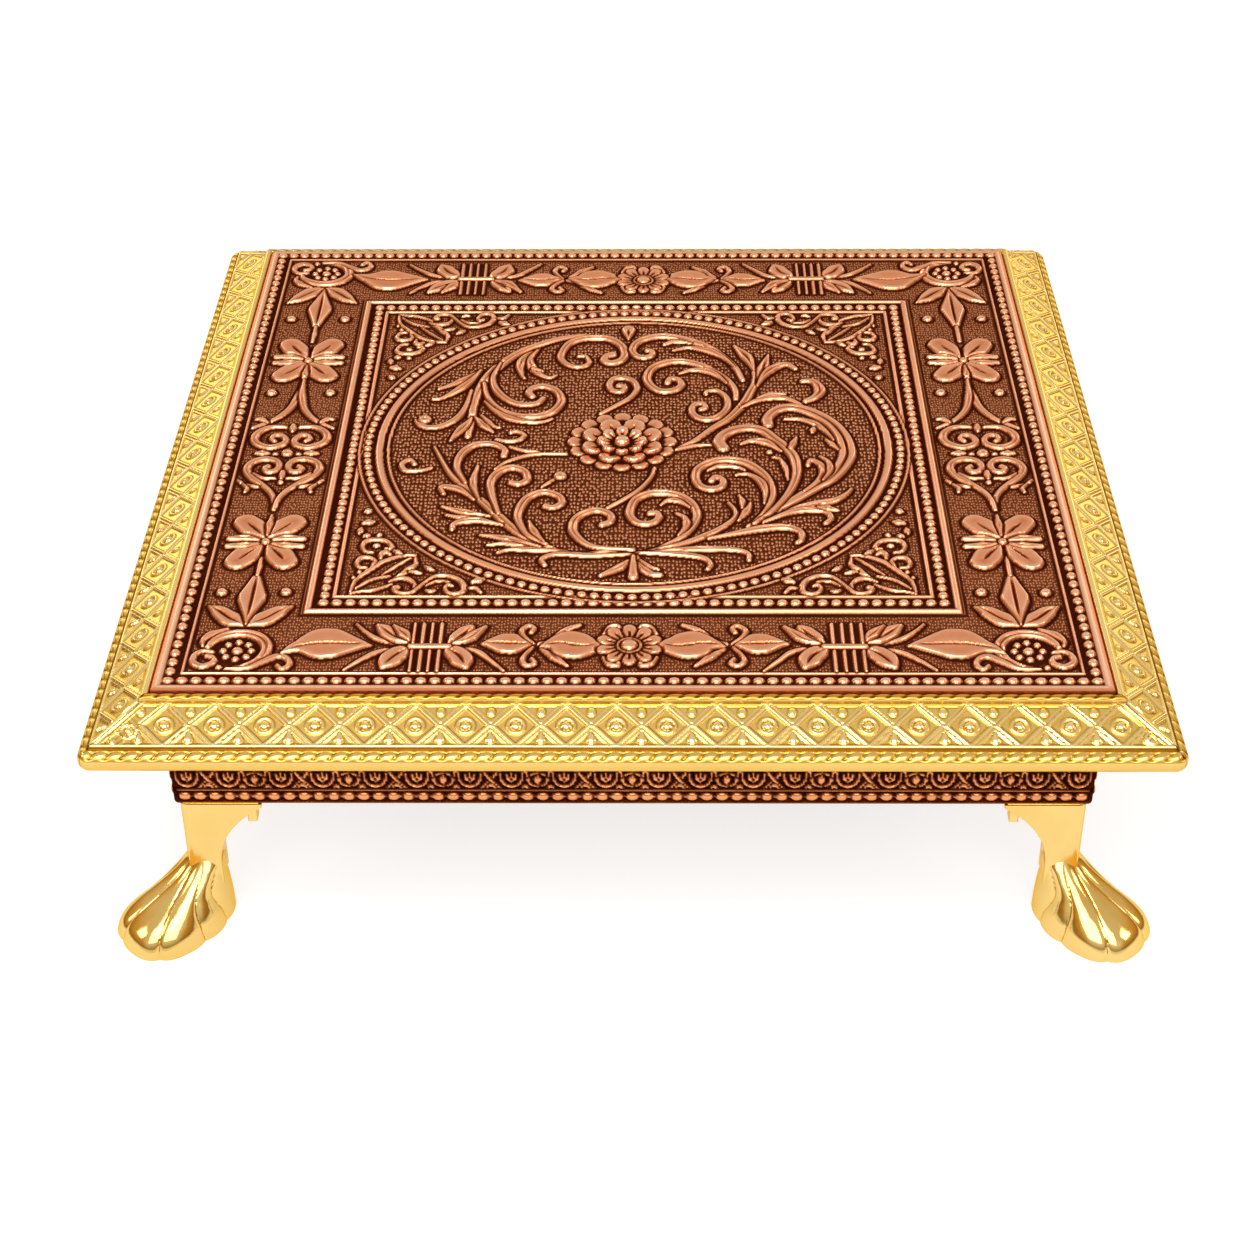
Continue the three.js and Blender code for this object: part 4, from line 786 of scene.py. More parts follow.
# The panel's relief: all ornament in turn, and over it the smooth rim, which rounds off at the sheet's
# edge as a quarter of an oval and has one thin line.
def panelField():
    half = boxOf("copper_top_sheet")[1][0]
    axis = np.linspace(-half, half, panel["cells"] + 1)
    field = newField(axis, axis)
    stampLines(field)
    stampOrnament(field)
    for x, y in panel["daisies"]:
        stampDaisy(field, x, y)
    for side in (-1, 1):
        for y in panel["cornerFlowers"]["rows"]:
            stampCornerFlower(field, side * panel["cornerFlowers"]["out"], y)
    stampRosette(field, *panel["rosette"])
    outer = panelPlaces(field)[1]
    rim = smoothStep((outer - (half - panel["rimWidth"] - 0.5)) / 0.5)
    edge = np.clip((outer - (half - panel["rimRound"])) / panel["rimRound"], 0, 1)
    inset, halfWidth, tall = panel["rimLine"]
    line = tall * np.exp(-((outer - (half - inset)) / halfWidth) ** 2)
    rounded = panel["rimRise"] * np.sqrt(1 - 0.98 * edge ** 2)
    field["rise"] = field["rise"] * (1 - rim) + rim * (rounded + line)
    field["gap"] = np.where(rim > 0.5, -1.0, field["gap"])
    field["rim"] = rim
    return field


# The mean over a square about each place, from running sums along both ways.
def blurred(values, reach):
    for axis in (0, 1):
        edges = [(reach + 1, reach) if k == axis else (0, 0) for k in (0, 1)]
        sums = np.cumsum(np.pad(values, edges, mode="edge"), axis=axis)
        n, size = values.shape[axis], 2 * reach + 1
        ahead, behind = np.arange(n) + size, np.arange(n)
        values = (np.take(sums, ahead, axis=axis) - np.take(sums, behind, axis=axis)) / size
    return values


# Tones of the panel, from 0 for patina to 1 for rubbed metal, whose palest colour is also a painted
# highlight. Steps are the mm at which they start and over which they go; pairs of the ground are inside the
# ring and outside it; perHeight is per mm. punched weighs the punch marks, whose dots the material paints
# paler as a painted highlight. rim and its perHeight paint the rim's thin line paler as a painted highlight
# and its rounded edge darker as painted shade.
panelPatinaAndPaintedLight = {
    "raisedStep": (0.12, 0.35),
    "moatStep": (0.7, 0.8),
    "surroundings": 1.3,
    "moat": 0.05,
    "ground": (0.16, 0.22),
    "punched": (1.0, 0.62),
    "fineness": (1.0, 1.35),
    "raised": 0.70,
    "rim": 0.76,
    "perHeight": {"above": 0.34, "below": 0.9, "ground": 0.12, "rim": 0.9},
}


# The panel's tone: what stands above its surroundings is rubbed bright and what lies below is dark, with a
# dark moat round every shape; at its palest, the rubbed metal's colour is also a painted highlight. Beyond
# the moat the ground is punched: coarse inside the ring, fine and paler outside it, and not at all in the
# channels of the beads. The material paints the punched dots paler, a painted highlight. On the rim the tone
# follows the height: the thin line is painted paler as a painted highlight, and the rounded edge is painted
# darker as painted shade.
def panelTones(field):
    half, outer, inner, ring = panelPlaces(field)
    ringLow, ringHigh = panel["ringChannel"]
    frameLow, frameHigh = panel["frameChannel"]
    channel = (outer > half - panel["outerLine"][0]) | ((ring > ringLow) & (ring < ringHigh)) \
        | ((inner < half - frameLow) & (inner > half - frameHigh))
    inside = ring < ringLow
    rise, gap = field["rise"], field["gap"]
    reach = max(1, round(panelPatinaAndPaintedLight["surroundings"] / (field["u"][1] - field["u"][0])))
    above = rise - blurred(blurred(rise, reach), reach)
    (raisedAt, raisedOver), (moatAt, moatOver) = panelPatinaAndPaintedLight["raisedStep"], panelPatinaAndPaintedLight["moatStep"]
    perHeight = panelPatinaAndPaintedLight["perHeight"]
    standing = smoothStep((rise - raisedAt) / raisedOver)
    openGround = smoothStep((gap - moatAt) / moatOver) * ~channel
    ground = panelPatinaAndPaintedLight["moat"] + openGround * np.where(inside, *panelPatinaAndPaintedLight["ground"])
    onTop = panelPatinaAndPaintedLight["raised"] + np.where(above > 0, perHeight["above"], perHeight["below"]) * above
    tone = standing * onTop + (1 - standing) * (ground + perHeight["ground"] * above)
    # on the rim the tone follows its height: a painted highlight on its thin line and painted shade on its
    # rounded edge
    onRim = panelPatinaAndPaintedLight["rim"] + perHeight["rim"] * (rise - panel["rimRise"])
    tone = tone + field["rim"] * (onRim - tone)
    # where the punch marks lie; the material paints their dots paler, a painted highlight
    punched = openGround * (1 - standing) * np.where(inside, *panelPatinaAndPaintedLight["punched"])
    return tone, punched, np.where(inside, *panelPatinaAndPaintedLight["fineness"])


# The sheet's edge, folded down all round outside the board: its section is carried round four mitred
# corners.
def buildLip(material):
    half, high = boxOf("copper_top_sheet")[1][0], panel["under"]
    low, t = high - panel["lipDepth"], panel["sheet"]
    section = np.array([(half - t, high), (half - t, low + 0.15), (half - t * 0.8, low),
                        (half - t * 0.2, low), (half, low + 0.15), (half, high)])
    signs = np.array([(-1, -1), (1, -1), (1, 1), (-1, 1)])
    x, y = section[:, :1] * signs[:, 0], section[:, :1] * signs[:, 1]
    points = np.stack([x, y, section[:, 1:] + 0 * x], axis=-1).reshape(-1, 3)
    rows = np.arange(len(section))[:, None]
    below, k = (rows + 1) % len(section), np.arange(4)[None, :]
    after = (k + 1) % 4
    faces = np.stack([rows * 4 + after, below * 4 + after, below * 4 + k, rows * 4 + k], axis=-1)
    values = {"tone": np.full(len(points), 0.6), "ground": np.zeros(len(points)),
              "fineness": np.ones(len(points))}
    makePiece("copper_panel_lip", points, [faces.reshape(-1, 4)], material,
              "copper_top_sheet", values, smoothAngle=30)


# The sheet is a height over a square grid, cut into tiles. Each tile is closed by walls down to the
# board and a fan below, and keeps the slopes of the whole sheet at its edges.
def buildPanel(material):
    field = panelField()
    print("panel relief worked out")
    fields = dict(zip(("tone", "ground", "fineness"), panelTones(field)))
    axis, height = field["u"], panel["ground"] + field["rise"]
    slopeV, slopeU = np.gradient(height, axis, axis)
    slopes = np.stack([-slopeU, -slopeV, np.ones_like(height)], axis=-1)
    slopes /= np.linalg.norm(slopes, axis=-1, keepdims=True)
    n = panel["cells"] // panel["tiles"]
    grid = gridFaces(n + 1, n + 1)
    index = np.arange((n + 1) ** 2).reshape(n + 1, n + 1)
    border = np.concatenate([index[0, :-1], index[:-1, -1], index[-1, :0:-1], index[:0:-1, 0]])
    first, k = index.size, np.arange(len(border))
    last, after = first + len(k), (k + 1) % len(k)
    walls = np.stack([border[after], border[k], first + k, first + after], axis=-1)
    fan = np.stack([first + after, first + k, np.full(len(k), last)], axis=-1)
    names = [["front_left", "front_middle", "front_right"], ["left", "middle", "right"],
             ["back_left", "back_middle", "back_right"]]
    belowSheet = {"tone": 0.5, "ground": 0.0, "fineness": 1.0}
    for row in range(panel["tiles"]):
        for column in range(panel["tiles"]):
            tile = slice(row * n, row * n + n + 1), slice(column * n, column * n + n + 1)
            x, y = np.meshgrid(axis[tile[1]], axis[tile[0]])
            top = np.stack([x, y, height[tile]], axis=-1).reshape(-1, 3)
            foot = top[border].copy()
            foot[:, 2] = panel["under"]
            points = np.vstack([top, foot, [[x.mean(), y.mean(), panel["under"]]]])
            start, middle, end = [points[walls[:, corner]] for corner in (0, 1, 2)]
            out = np.cross(middle - start, end - middle)
            out /= np.linalg.norm(out, axis=-1, keepdims=True) + 1e-12
            normals = np.vstack([slopes[tile].reshape(-1, 3)[grid.ravel()], np.repeat(out, 4, axis=0),
                                 np.tile([[0, 0, -1.0]], (fan.size, 1))])
            values = {key: np.concatenate([fields[key][tile].ravel(), np.full(len(foot) + 1, hidden)])
                      for key, hidden in belowSheet.items()}
            makePiece("copper_panel_" + names[row][column], points, [grid, walls, fan], material,
                      "copper_top_sheet", values, normals)
    buildLip(material)
    print("copper panel built")


# Embossed strips round the sides

# A mitred length of thin sheet round one side of a square. The outline runs over the outside of its
# section as distances out and heights; the inside is the same line set in by the sheet's thickness.
# Stations are equal shares of each line's own length, whose ends turn round the rounded corner.
# workedBy gives how far each point is pushed out, its tone and its ground, from length and place.
def buildStrip(side, name, outline, strip, workedBy, material):
    tangent = np.gradient(outline, axis=0)
    tangent /= np.linalg.norm(tangent, axis=1, keepdims=True)
    normal = np.stack([-tangent[:, 1], tangent[:, 0]], axis=1)
    within = (outline - strip["sheet"] * normal)[::4][::-1]
    loop = np.vstack([outline, within])
    q = np.linspace(-1, 1, strip["stations"][side == "back"])[:, None]
    rho = np.maximum(0, strip["cornerRadius"] - (strip["outside"] - loop[:, 0]))[None, :]
    centre = loop[:, 0][None, :] - rho      # the corner's rounding has this middle for every line
    straight = centre - strip["mitreGap"] / 2
    length = straight + rho * quarter / 2
    along = q * length
    turn = np.clip(abs(along) - straight, 0, None) / np.maximum(rho, 1e-6) * (rho > 0)
    sideways, forwards = np.sign(q) * np.sin(turn), np.cos(turn)
    x = np.sign(q) * np.minimum(abs(along), straight) + rho * sideways
    y = -(centre + rho * forwards)
    z = np.broadcast_to(loop[:, 1][None, :], x.shape).copy()
    n = len(outline)
    push, tone, ground = workedBy(along[:, :n], (length - abs(along))[:, :n])
    outward = normal[:, 0][None, :] * push
    x[:, :n] += outward * sideways[:, :n]
    y[:, :n] -= outward * forwards[:, :n]
    z[:, :n] += normal[:, 1][None, :] * push
    rows, columns = x.shape
    points = turned(np.stack([x, y, z], axis=-1).reshape(-1, 3), sides.index(side))
    m = len(within) - 1
    k, part = np.arange(m)[:, None], np.arange(4)[None, :]
    inner = n + m - k
    fan = np.stack(np.broadcast_arrays(inner, 4 * k + part + 1, 4 * k + part), axis=-1).reshape(-1, 3)
    joined = np.concatenate([inner, inner - 1, 4 * k + 4], axis=1)
    cap = np.vstack([fan, joined])
    extra = np.zeros((rows, columns - n))
    values = {"tone": np.hstack([tone, extra + 0.6]), "ground": np.hstack([ground, extra])}
    faceSets = [gridFaces(rows, columns, closed=True), cap, cap[:, ::-1] + (rows - 1) * columns]
    makePiece("embossed_" + name + side, points, faceSets, material, name + side, values,
              smoothAngle=50)


# Points at equal steps from a start up to, but not at, an end.
def straightLine(start, end, steps):
    t = np.linspace(0, 1, steps, endpoint=False)[:, None]
    return np.array(start) * (1 - t) + np.array(end) * t


# Points round a middle at equal angles up to, but not at, the last angle.
def arcLine(middle, radius, fromAngle, toAngle, steps):
    a = np.radians(np.linspace(fromAngle, toAngle, steps, endpoint=False))
    return np.stack([middle[0] + radius * np.cos(a), middle[1] + radius * np.sin(a)], axis=1)


# Brass edge: an inner rope, a sloping band of diamonds, a groove, an outer rope and a plain roll under it.
# All in mm. Places are distances out and heights, and the ropes have a radius too. Of the band, a line is
# a place, a half width and a height; a drop is a place, half sizes across and down, and a height; what
# stands past the row is a place, a share of the band's width, a radius, a line's half width and a height.
# A groove of the band is only a painted shade line beside what is raised, not cut: a place, or for the drops
# a share of their size with that size, and its half width.
brassEdge = {
    "stations": (681, 381) if fine else (301, 201),     # on the sides in view and at the back
    "sheet": 0.6,
    "outside": 190.5,
    "cornerRadius": 4.5,
    "mitreGap": 0.3,
    "ropeStart": 167.4,
    "turndown": 101.6,
    "innerRope": (169.0, 105.0, 1.55),
    "lineOut": (170.6, 103.55),
    "ridge": (186.2, 96.5),
    "groove": (187.3, 95.55),
    "outerRope": (187.35, 92.51, 3.1),
    "skirt": 1.1,
    "flangeEdge": 174.4,
    "ropePitch": 5.5,
    "bandHalf": 178.3,
    # Each row also says how dark the band's painted shade lines are painted beside its raised work.
    "front": {"diamonds": 20, "startRoom": 8.7, "pitch": 17.3, "roped": True, "lineShade": 0.5},
    "side": {"diamonds": 17, "startRoom": 0.8, "pitch": 20.88, "roped": False, "lineShade": 0.34},
    # Plain tones of the outline's stretches: the groove is painted near black as painted shade, and the plain
    # roll is painted darker as a painted reflection of the shaded floor near the table.
    "tones": {"turndown": 0.9, "innerRope": 0.9, "foot": 0.7, "groove": 0.05, "plain": 0.66},
    "strands": {        # their slant, the depth between them and where down the roll they end
        "innerRope": {"slant": 0.7, "depth": 0.6, "until": 0.97},
        "outerRope": {"slant": 0.55, "depth": 0.95, "until": 0.8},
    },
    "band": {
        "diamondLines": [(-0.5, 0.85, 0.62), (0.85, 0.6, 0.38)],
        "ring": (2.8, 0.75, 0.5),
        "dome": (1.75, 1.0),
        "upperDrop": (3.2, 1.35, 1.7, 0.55),
        "lowerDrop": (13.2, 1.75, 2.6, 0.85),
        "endRings": [(3.4, 0.62, 2.5, 0.5, 0.45), (7.0, 0.8, 2.4, 0.4, 0.4)],
        "endDomes": [(3.4, 0.62, 1.5, 0.8), (8.2, 0.87, 1.2, 0.7)],
        "mitreLines": [(2.0, 0.55, 0.45), (0.75, 0.55, 0.5)],
        "edgeLines": [(0.55, 0.35, 0.2), (0.7, 0.8, 0.55)],
        "dropTaper": (9.6, 4.4, 0.15),      # where it starts, over how much it goes and its least share
        "diamondShadeLines": [(-1.45, 0.3), (0.2, 0.3)],
        "ringShadeLines": [(3.6, 0.3), (2.0, 0.3)],
        "dropShadeLines": [(1.25, 1.4, 0.35), (1.25, 1.7, 0.35)],
        "edgeShadeLines": [(1.35, 0.3), (1.7, 0.35)],
        "tone": 0.78,
        "shade": 0.14,
    },
}


# The section's outside as one line, with the name of its stretch for each point. The inner side takes
# every fourth point, so the number of points is one more than a multiple of four.
def brassOutline():
    start, (ix, iz, ir), (ox, oz, r) = brassEdge["ropeStart"], brassEdge["innerRope"], brassEdge["outerRope"]
    flange, low = brassEdge["flangeEdge"], oz - brassEdge["skirt"]
    tilt = math.degrees(math.acos((brassEdge["groove"][0] - ox) / r))
    stretches = [
        ("turndown", straightLine((start, brassEdge["turndown"]), (start, iz), 3)),
        ("innerRope", arcLine((ix, iz), ir, 180, 0, 14)),
        ("foot", straightLine((ix + ir, iz), brassEdge["lineOut"], 4)),
        ("band", straightLine(brassEdge["lineOut"], brassEdge["ridge"], 52)),
        ("groove", straightLine(brassEdge["ridge"], brassEdge["groove"], 3)),
        ("outerRope", arcLine((ox, oz), r, tilt, 0, 16)),
        ("plain", np.vstack([arcLine((ox, low), r, 0, -90, 8),
                             straightLine((ox, low - r), (flange, low - r), 4), [[flange, low - r]]])),
    ]
    names = np.concatenate([[name] * len(points) for name, points in stretches])
    return np.vstack([points for _, points in stretches]), names


# A raised line where a distance is near nought: a cosine to the power 1.2 over its half width.
def raised(distance, halfWidth, tall):
    return tall * np.cos(quarter * np.clip(distance / halfWidth, -1, 1)) ** 1.2


# A small dome: about the root of one less the square of a distance's share of its size.
def domed(distance, size, tall, power=0.55):
    return tall * np.clip(1 - (distance / size) ** 2, 0, 1) ** power


# The band: each diamond has a double outline, a ring with a dome in it, and drops in the corners between it
# and the next; raised lines run along both edges and beside the mitres. x runs along the strip and b down the
# band. Dark lines are painted beside what is raised as painted shade. The side corners of each diamond are
# painted darker as painted shade, and what is raised is painted paler as a painted highlight.
def diamondBand(x, b, toMitre, row):
    band = brassEdge["band"]
    wide = math.dist(brassEdge["ridge"], brassEdge["lineOut"])
    start = row["startRoom"] - brassEdge["bandHalf"]
    place = (x - start) / row["pitch"]
    inRow = (place > -0.02) & (place < row["diamonds"] + 0.02)
    local = (place - np.floor(place) - 0.5) * row["pitch"]
    between = (place - np.round(place)) * row["pitch"]
    half, middle = row["pitch"] / 2, wide / 2
    out = (abs(local) / half + abs(b - middle) / middle - 1) * half * middle / math.hypot(half, middle)
    fromMiddle = np.hypot(local, b - middle)
    radius, halfWidth, tall = band["ring"]
    push = sum(raised(out - at, lineWidth, height) for at, lineWidth, height in band["diamondLines"]) \
        + raised(fromMiddle - radius, halfWidth, tall) + domed(fromMiddle, *band["dome"])
    at, across, down, tall = band["upperDrop"]
    upper = np.hypot(between / across, (b - at) / down)
    push = np.maximum(push, domed(upper, 1, tall, 0.5))
    at, across, down, tall = band["lowerDrop"]
    taperAt, taperOver, least = band["dropTaper"]
    taper = across * np.clip((b - taperAt) / taperOver, least, 1)
    lower = np.hypot(between / taper, (b - at) / down)
    push = np.maximum(push, domed(lower, 1, tall, 0.5))
    past = start - np.where(x > 0, -x, x)
    ends = 0.0
    for at, share, radius, halfWidth, tall in band["endRings"]:
        ends = ends + raised(np.hypot(past - at, b - wide * share) - radius, halfWidth, tall)
    for at, share, size, tall in band["endDomes"]:
        ends = ends + domed(np.hypot(past - at, b - wide * share), size, tall)
    push = np.where(inRow, push, ends) * smoothStep((toMitre - 2.6) / 0.6)
    for at, halfWidth, tall in band["mitreLines"]:
        push = push + raised(toMitre - at, halfWidth, tall)
    for (at, halfWidth, tall), fromEdge in zip(band["edgeLines"], (b, wide - b)):
        push = np.maximum(push, raised(fromEdge - at, halfWidth, tall))
    # painted shade lines beside the raised work: only the tone is darkened here, nothing is cut
    shadeLinePlaces = [(out - at, width) for at, width in band["diamondShadeLines"]]
    shadeLinePlaces += [(fromMiddle - at, width) for at, width in band["ringShadeLines"]]
    for ratio, (at, size, width) in zip((upper, lower), band["dropShadeLines"]):
        shadeLinePlaces.append((size * (ratio - at), width))
    for fromEdge, (at, width) in zip((b, wide - b), band["edgeShadeLines"]):
        shadeLinePlaces.append((fromEdge - at, width))
    paintedShade = 0.0
    for distance, width in shadeLinePlaces:
        paintedShade = np.maximum(paintedShade, np.exp(-(distance / width) ** 2))
    # painted shade in the side corners of each diamond
    shaded = smoothStep((abs(local) / half - 0.45) / 0.4) * (out < -1.4)
    tone = band["tone"] - row["lineShade"] * paintedShade - band["shade"] * shaded
    # what is raised is painted paler: a painted highlight
    return push, tone + (1 - tone) * smoothStep((push - 0.05) / 0.35)


# A rope: the roll is cut inwards between slanting strands, each round along the rope as an oval. The cuts
# fade out at both edges of the roll, and so does the painted shade: the cuts are painted dark, and the roll's
# lower half is painted darker.
def ropeWork(x, down, rope):
    share = down / down.max()
    u = (x + rope["slant"] * down) / brassEdge["ropePitch"]
    u = 2 * (u - np.round(u))
    cut = rope["depth"] * (np.sqrt(np.clip(1 - 0.98 * u ** 2, 0.02, 1)) - 1)
    fade = smoothStep((rope["until"] - share) / 0.2) * smoothStep((share + 0.06) / 0.1)
    # painted shade over the lower half of the roll
    low = 0.45 * smoothStep((share - 0.5) / 0.2) * fade
    return cut * fade, 0.72 - low - 0.4 * fade * smoothStep((abs(u) - 0.55) / 0.4)


# The brass strip's work on one side: each stretch of the outline has its own ornament, or a plain tone.
def workedBrass(names, outline, row):
    lengths = runningLength(outline)

    # push, tone and ground at lengths x along the strip
    def work(x, toMitre):
        push, tone = np.zeros_like(x), np.zeros_like(x)
        for name, plain in brassEdge["tones"].items():
            tone[:, names == name] = plain
        for name in ("innerRope", "band", "outerRope"):
            mine = names == name
            down = (lengths[mine] - lengths[mine][0])[None, :] + 0 * x[:, mine]
            if name == "band":
                push[:, mine], tone[:, mine] = diamondBand(x[:, mine], down, toMitre[:, mine], row)
            elif name == "outerRope" or row["roped"]:
                push[:, mine], tone[:, mine] = ropeWork(x[:, mine], down, brassEdge["strands"][name])
        return push, tone, np.zeros_like(x)

    return work


# The four strips of the brass edge: one section, carried along each side.
def buildBrassEdge(material):
    outline, names = brassOutline()
    for side in sides:
        row = brassEdge["front" if side in ("front", "back") else "side"]
        work = workedBrass(names, outline, row)
        buildStrip(side, "brass_edge_strip_", outline, brassEdge, work, material)
    print("brass edge built")


# Copper apron: a row of beads along the foot, a fillet, and a running band of rings, garlands and stems.
# All in mm; heights are from the floor. A bead's size is its half sizes across and up.
apron = {
    "stations": (421, 221) if fine else (221, 151),
    "sheet": 0.6,
    "outside": 165.0,
    "cornerRadius": 1.6,
    "foldRadius": 1.0,
    "mitreGap": 0.3,
    "bottom": 53.9,
    "top": 90.1,
    "flangeEdge": 151.0,
    "fieldHalf": 166,
    "fieldCells": (1107, 150),
    "beadHeight": 57.9,
    "beadPitch": 5.35,
    "beadsTo": 159,
    "beadSize": (2.3, 1.8),
    "dotSize": (0.5, 0.6),
    "fillets": (60.6, 88.6),
    "unit": 33.7,
    "unitsEachWay": 5,
    "patternTo": 163.5,
    "turnover": 75.0,       # the pattern above this height is the one below, upside down
    "seenTo": 71.5,         # the worked face is finest up to this height
}
apronRelief = {"rise": 1.15, "thin": 0.55, "perWidth": 0.3, "cut": 0.6, "bevel": 0.8, "hollow": 0.2}

# One unit of the running band about the ring, for its right half; the left half is its mirror image.
apronUnitStrokes = [
    ([0.6, 0.75, 0.6], [0, 62.6, 2.4, 63.4, 3.5, 65.6, 2.4, 67.9, 0, 68.6]),
    ([0.8, 1.5, 0.6], [0, 63.9, 0.2, 65.6, 0, 67.4]),
    ([0.5, 0.8, 0.6], [5.2, 70, 5.6, 66, 7, 63.4, 9.4, 62.5, 11.8, 63.4, 13.2, 66, 13.6, 70]),
    ([0.5, 1.2, 0.5], [9.4, 64, 9.4, 66, 9.4, 68.6]),
    ([0.5, 0.9, 0.5], [9.4, 64.6, 8.2, 66, 7.6, 68]),
    ([0.5, 0.9, 0.5], [9.4, 64.6, 10.6, 66, 11.2, 68]),
    ([0.5, 0.8, 0.6], [13.6, 61.9, 16.85, 65.4, 19.6, 69.6]),
    ([0.6, 0.9, 0.5], [3.6, 61.9, 4.6, 62.8, 5.4, 61.9]),
    ([0.6, 0.9, 0.5], [15.2, 61.9, 16.85, 63.3, 18.4, 61.9]),
    ([0.5, 0.8, 0.5], [3.6, 67, 4.6, 70, 6.6, 73]),
    ([0.6, 1.6, 0.6], [0, 69.6, 0, 72, 0, 75]),
    ([0.6, 1.3, 0.6], [13.6, 69.5, 16.85, 72.4, 20.1, 69.5]),
]


# The apron's relief, laid flat: fillets, beads and the smaller dots between them, then the unit's strokes
# at each pitch, mirrored to both sides and turned over upwards.
def apronField():
    half, (acrossCells, upCells) = apron["fieldHalf"], apron["fieldCells"]
    field = newField(np.linspace(-half, half, acrossCells),
                     np.linspace(apron["bottom"] - 0.5, apron["top"] + 0.5, upCells))
    up = field["v"][:, None] + 0 * field["u"][None, :]
    for height in apron["fillets"]:
        stampRidge(field, abs(up - height), 0.5, 0.55, apronRelief)
    pitch, count = apron["beadPitch"], round(apron["beadsTo"] / apron["beadPitch"])
    for k in range(-count, count + 1):
        stampDome(field, k * pitch, apron["beadHeight"], *apron["beadSize"], apronRelief)
    for k in range(-count, count):
        stampDome(field, (k + 0.5) * pitch, apron["beadHeight"], *apron["dotSize"], apronRelief, tall=0.8)
    for k in range(-apron["unitsEachWay"], apron["unitsEachWay"] + 1):
        for factor in (1, -1):
            for stroke in moved(apronUnitStrokes, factor, k * apron["unit"]):
                for copy in (stroke, moved([stroke], 1, 0, -1, 2 * apron["turnover"])[0]):
                    if abs(copy[1][::2]).max() < apron["patternTo"]:
                        stampStroke(field, copy, apronRelief, worked=False)
    return field


# The four strips of the apron: a flange, a rounded fold and an upright face, pushed out by the relief.
def buildApron(material):
    field = apronField()
    out, bottom, top, r = apron["outside"], apron["bottom"], apron["top"], apron["foldRadius"]
    outline = np.vstack([straightLine((apron["flangeEdge"], bottom), (out - r, bottom), 4),
                         arcLine((out - r, bottom + r), r, -90, 0, 5),
                         straightLine((out, bottom + r), (out, apron["seenTo"]), 38),
                         straightLine((out, apron["seenTo"]), (out, top), 23), [[out, top]]])
    outline = outline[(len(outline) - 1) % 4:][::-1]
    face = outline[:, 0] > out - 0.01

    # push, tone and ground at lengths x along the strip, read from the flat relief
    def work(x, toMitre):
        z = np.broadcast_to(outline[:, 1][None, :], x.shape)
        clear = smoothStep((toMitre - 1.0) / 0.8)
        rise = sampleField(field, "rise", x, z) * clear * face
        gap = sampleField(field, "gap", x, z)
        openGround = smoothStep((gap - 0.2) / 0.7) * (rise < 0.05) * face
        tone = np.where(rise > 0.05, 0.4 + 0.6 * smoothStep(rise / 0.75), 0.2 * openGround + 0.1)
        rolled = smoothStep((bottom + 1.5 - z) / 0.5) * 0.62
        return rise, np.maximum(np.where(face, tone, 0.5), rolled), openGround * clear

    for side in sides:
        buildStrip(side, "copper_apron_strip_", outline, apron, work, material)
    print("copper apron built")


# Cast legs

# The leg stands in the corner of two axes that run inwards along the apron's faces, in mm.
legs = {
    "corner": 165.0,        # the apron's corner, from the table's axis
    "inset": 1.4,
    "column": 14.7,
    "waist": 13.9,
    "cornerRadius": 3.0,
    "edgeRadius": 0.45,
    "ear": 31.0,
    "earThickness": 4.6,
    "ankle": 24.5,
    "bend": 40.7,
    "earBottom": 50.8,
    "top": 52.4,
    "height": 53.6,
    "plateThickness": 3,
    "plateCut": (30.0, 6.8),
    "seatInset": 0.8,
    "lugAlong": (24.8, 28.2),
    "lugAcross": (5.4, 10.8),
    "lugBottom": 41.2,
}
# Reaches are from the paw's middle; grooves are angles from the front, at the foot and at the top.
paw = {"middle": 8.0, "front": 19.8, "rear": 26.3, "halfWidth": 16.9, "groove": 2.0, "spread": 26.0,
       "grooveFeet": [18.5, 75, 130, -39.4, -103, -143], "grooveTops": [16, 50, 95, -7, -41, -85]}
# height, reach to the front and the rear and half width as shares, drift towards the column, groove
pawRings = [
    [0.00, 0.985, 0.985, 0.985, 0.00, 0.8], [0.03, 1.0, 1.0, 1.0, 0.00, 0.9],
    [0.10, 0.99, 1.0, 0.99, 0.00, 0.9], [0.25, 0.93, 0.98, 0.93, 0.03, 1.0],
    [0.36, 0.84, 0.93, 0.85, 0.10, 1.0], [0.47, 0.70, 0.84, 0.75, 0.22, 1.0],
    [0.58, 0.55, 0.72, 0.65, 0.38, 0.9], [0.70, 0.42, 0.57, 0.57, 0.57, 0.75],
    [0.82, 0.36, 0.43, 0.51, 0.77, 0.5], [0.94, 0.34, 0.31, 0.45, 0.94, 0.2],
    [1.04, 0.29, 0.23, 0.35, 1.00, 0.0],
]


# Rings of points stacked into a closed shell, each end closed by a fan about a given point.
def loft(rings, lowMiddle, highMiddle, first=0):
    levels, count = rings.shape[:2]
    points = np.vstack([rings.reshape(-1, 3), [lowMiddle], [highMiddle]])
    k = np.arange(count)
    after, top = (k + 1) % count, (levels - 1) * count
    low = levels * count
    fans = np.vstack([np.stack([after, k, k * 0 + low], axis=1),
                      np.stack([top + k, top + after, k * 0 + low + 1], axis=1)])
    return points, gridFaces(levels, count, closed=True) + first, fans + first


# Corners of an outline rounded by curves of the second degree that start a radius away from each.
def roundedCorners(places, radii, steps=4):
    points, reach = np.array(places, float), np.array(radii, float)
    t = np.linspace(0, 1, steps)[None, :, None]
    ends = []
    for step in (1, -1):
        towards = np.roll(points, step, axis=0) - points
        length = np.linalg.norm(towards, axis=1)
        ends.append(points + towards * (np.minimum(reach, length * 0.45) / np.maximum(length, 1e-6))[:, None])
    curve = ends[0][:, None] * (1 - t) ** 2 + 2 * points[:, None] * t * (1 - t) + ends[1][:, None] * t ** 2
    return curve.reshape(-1, 2)


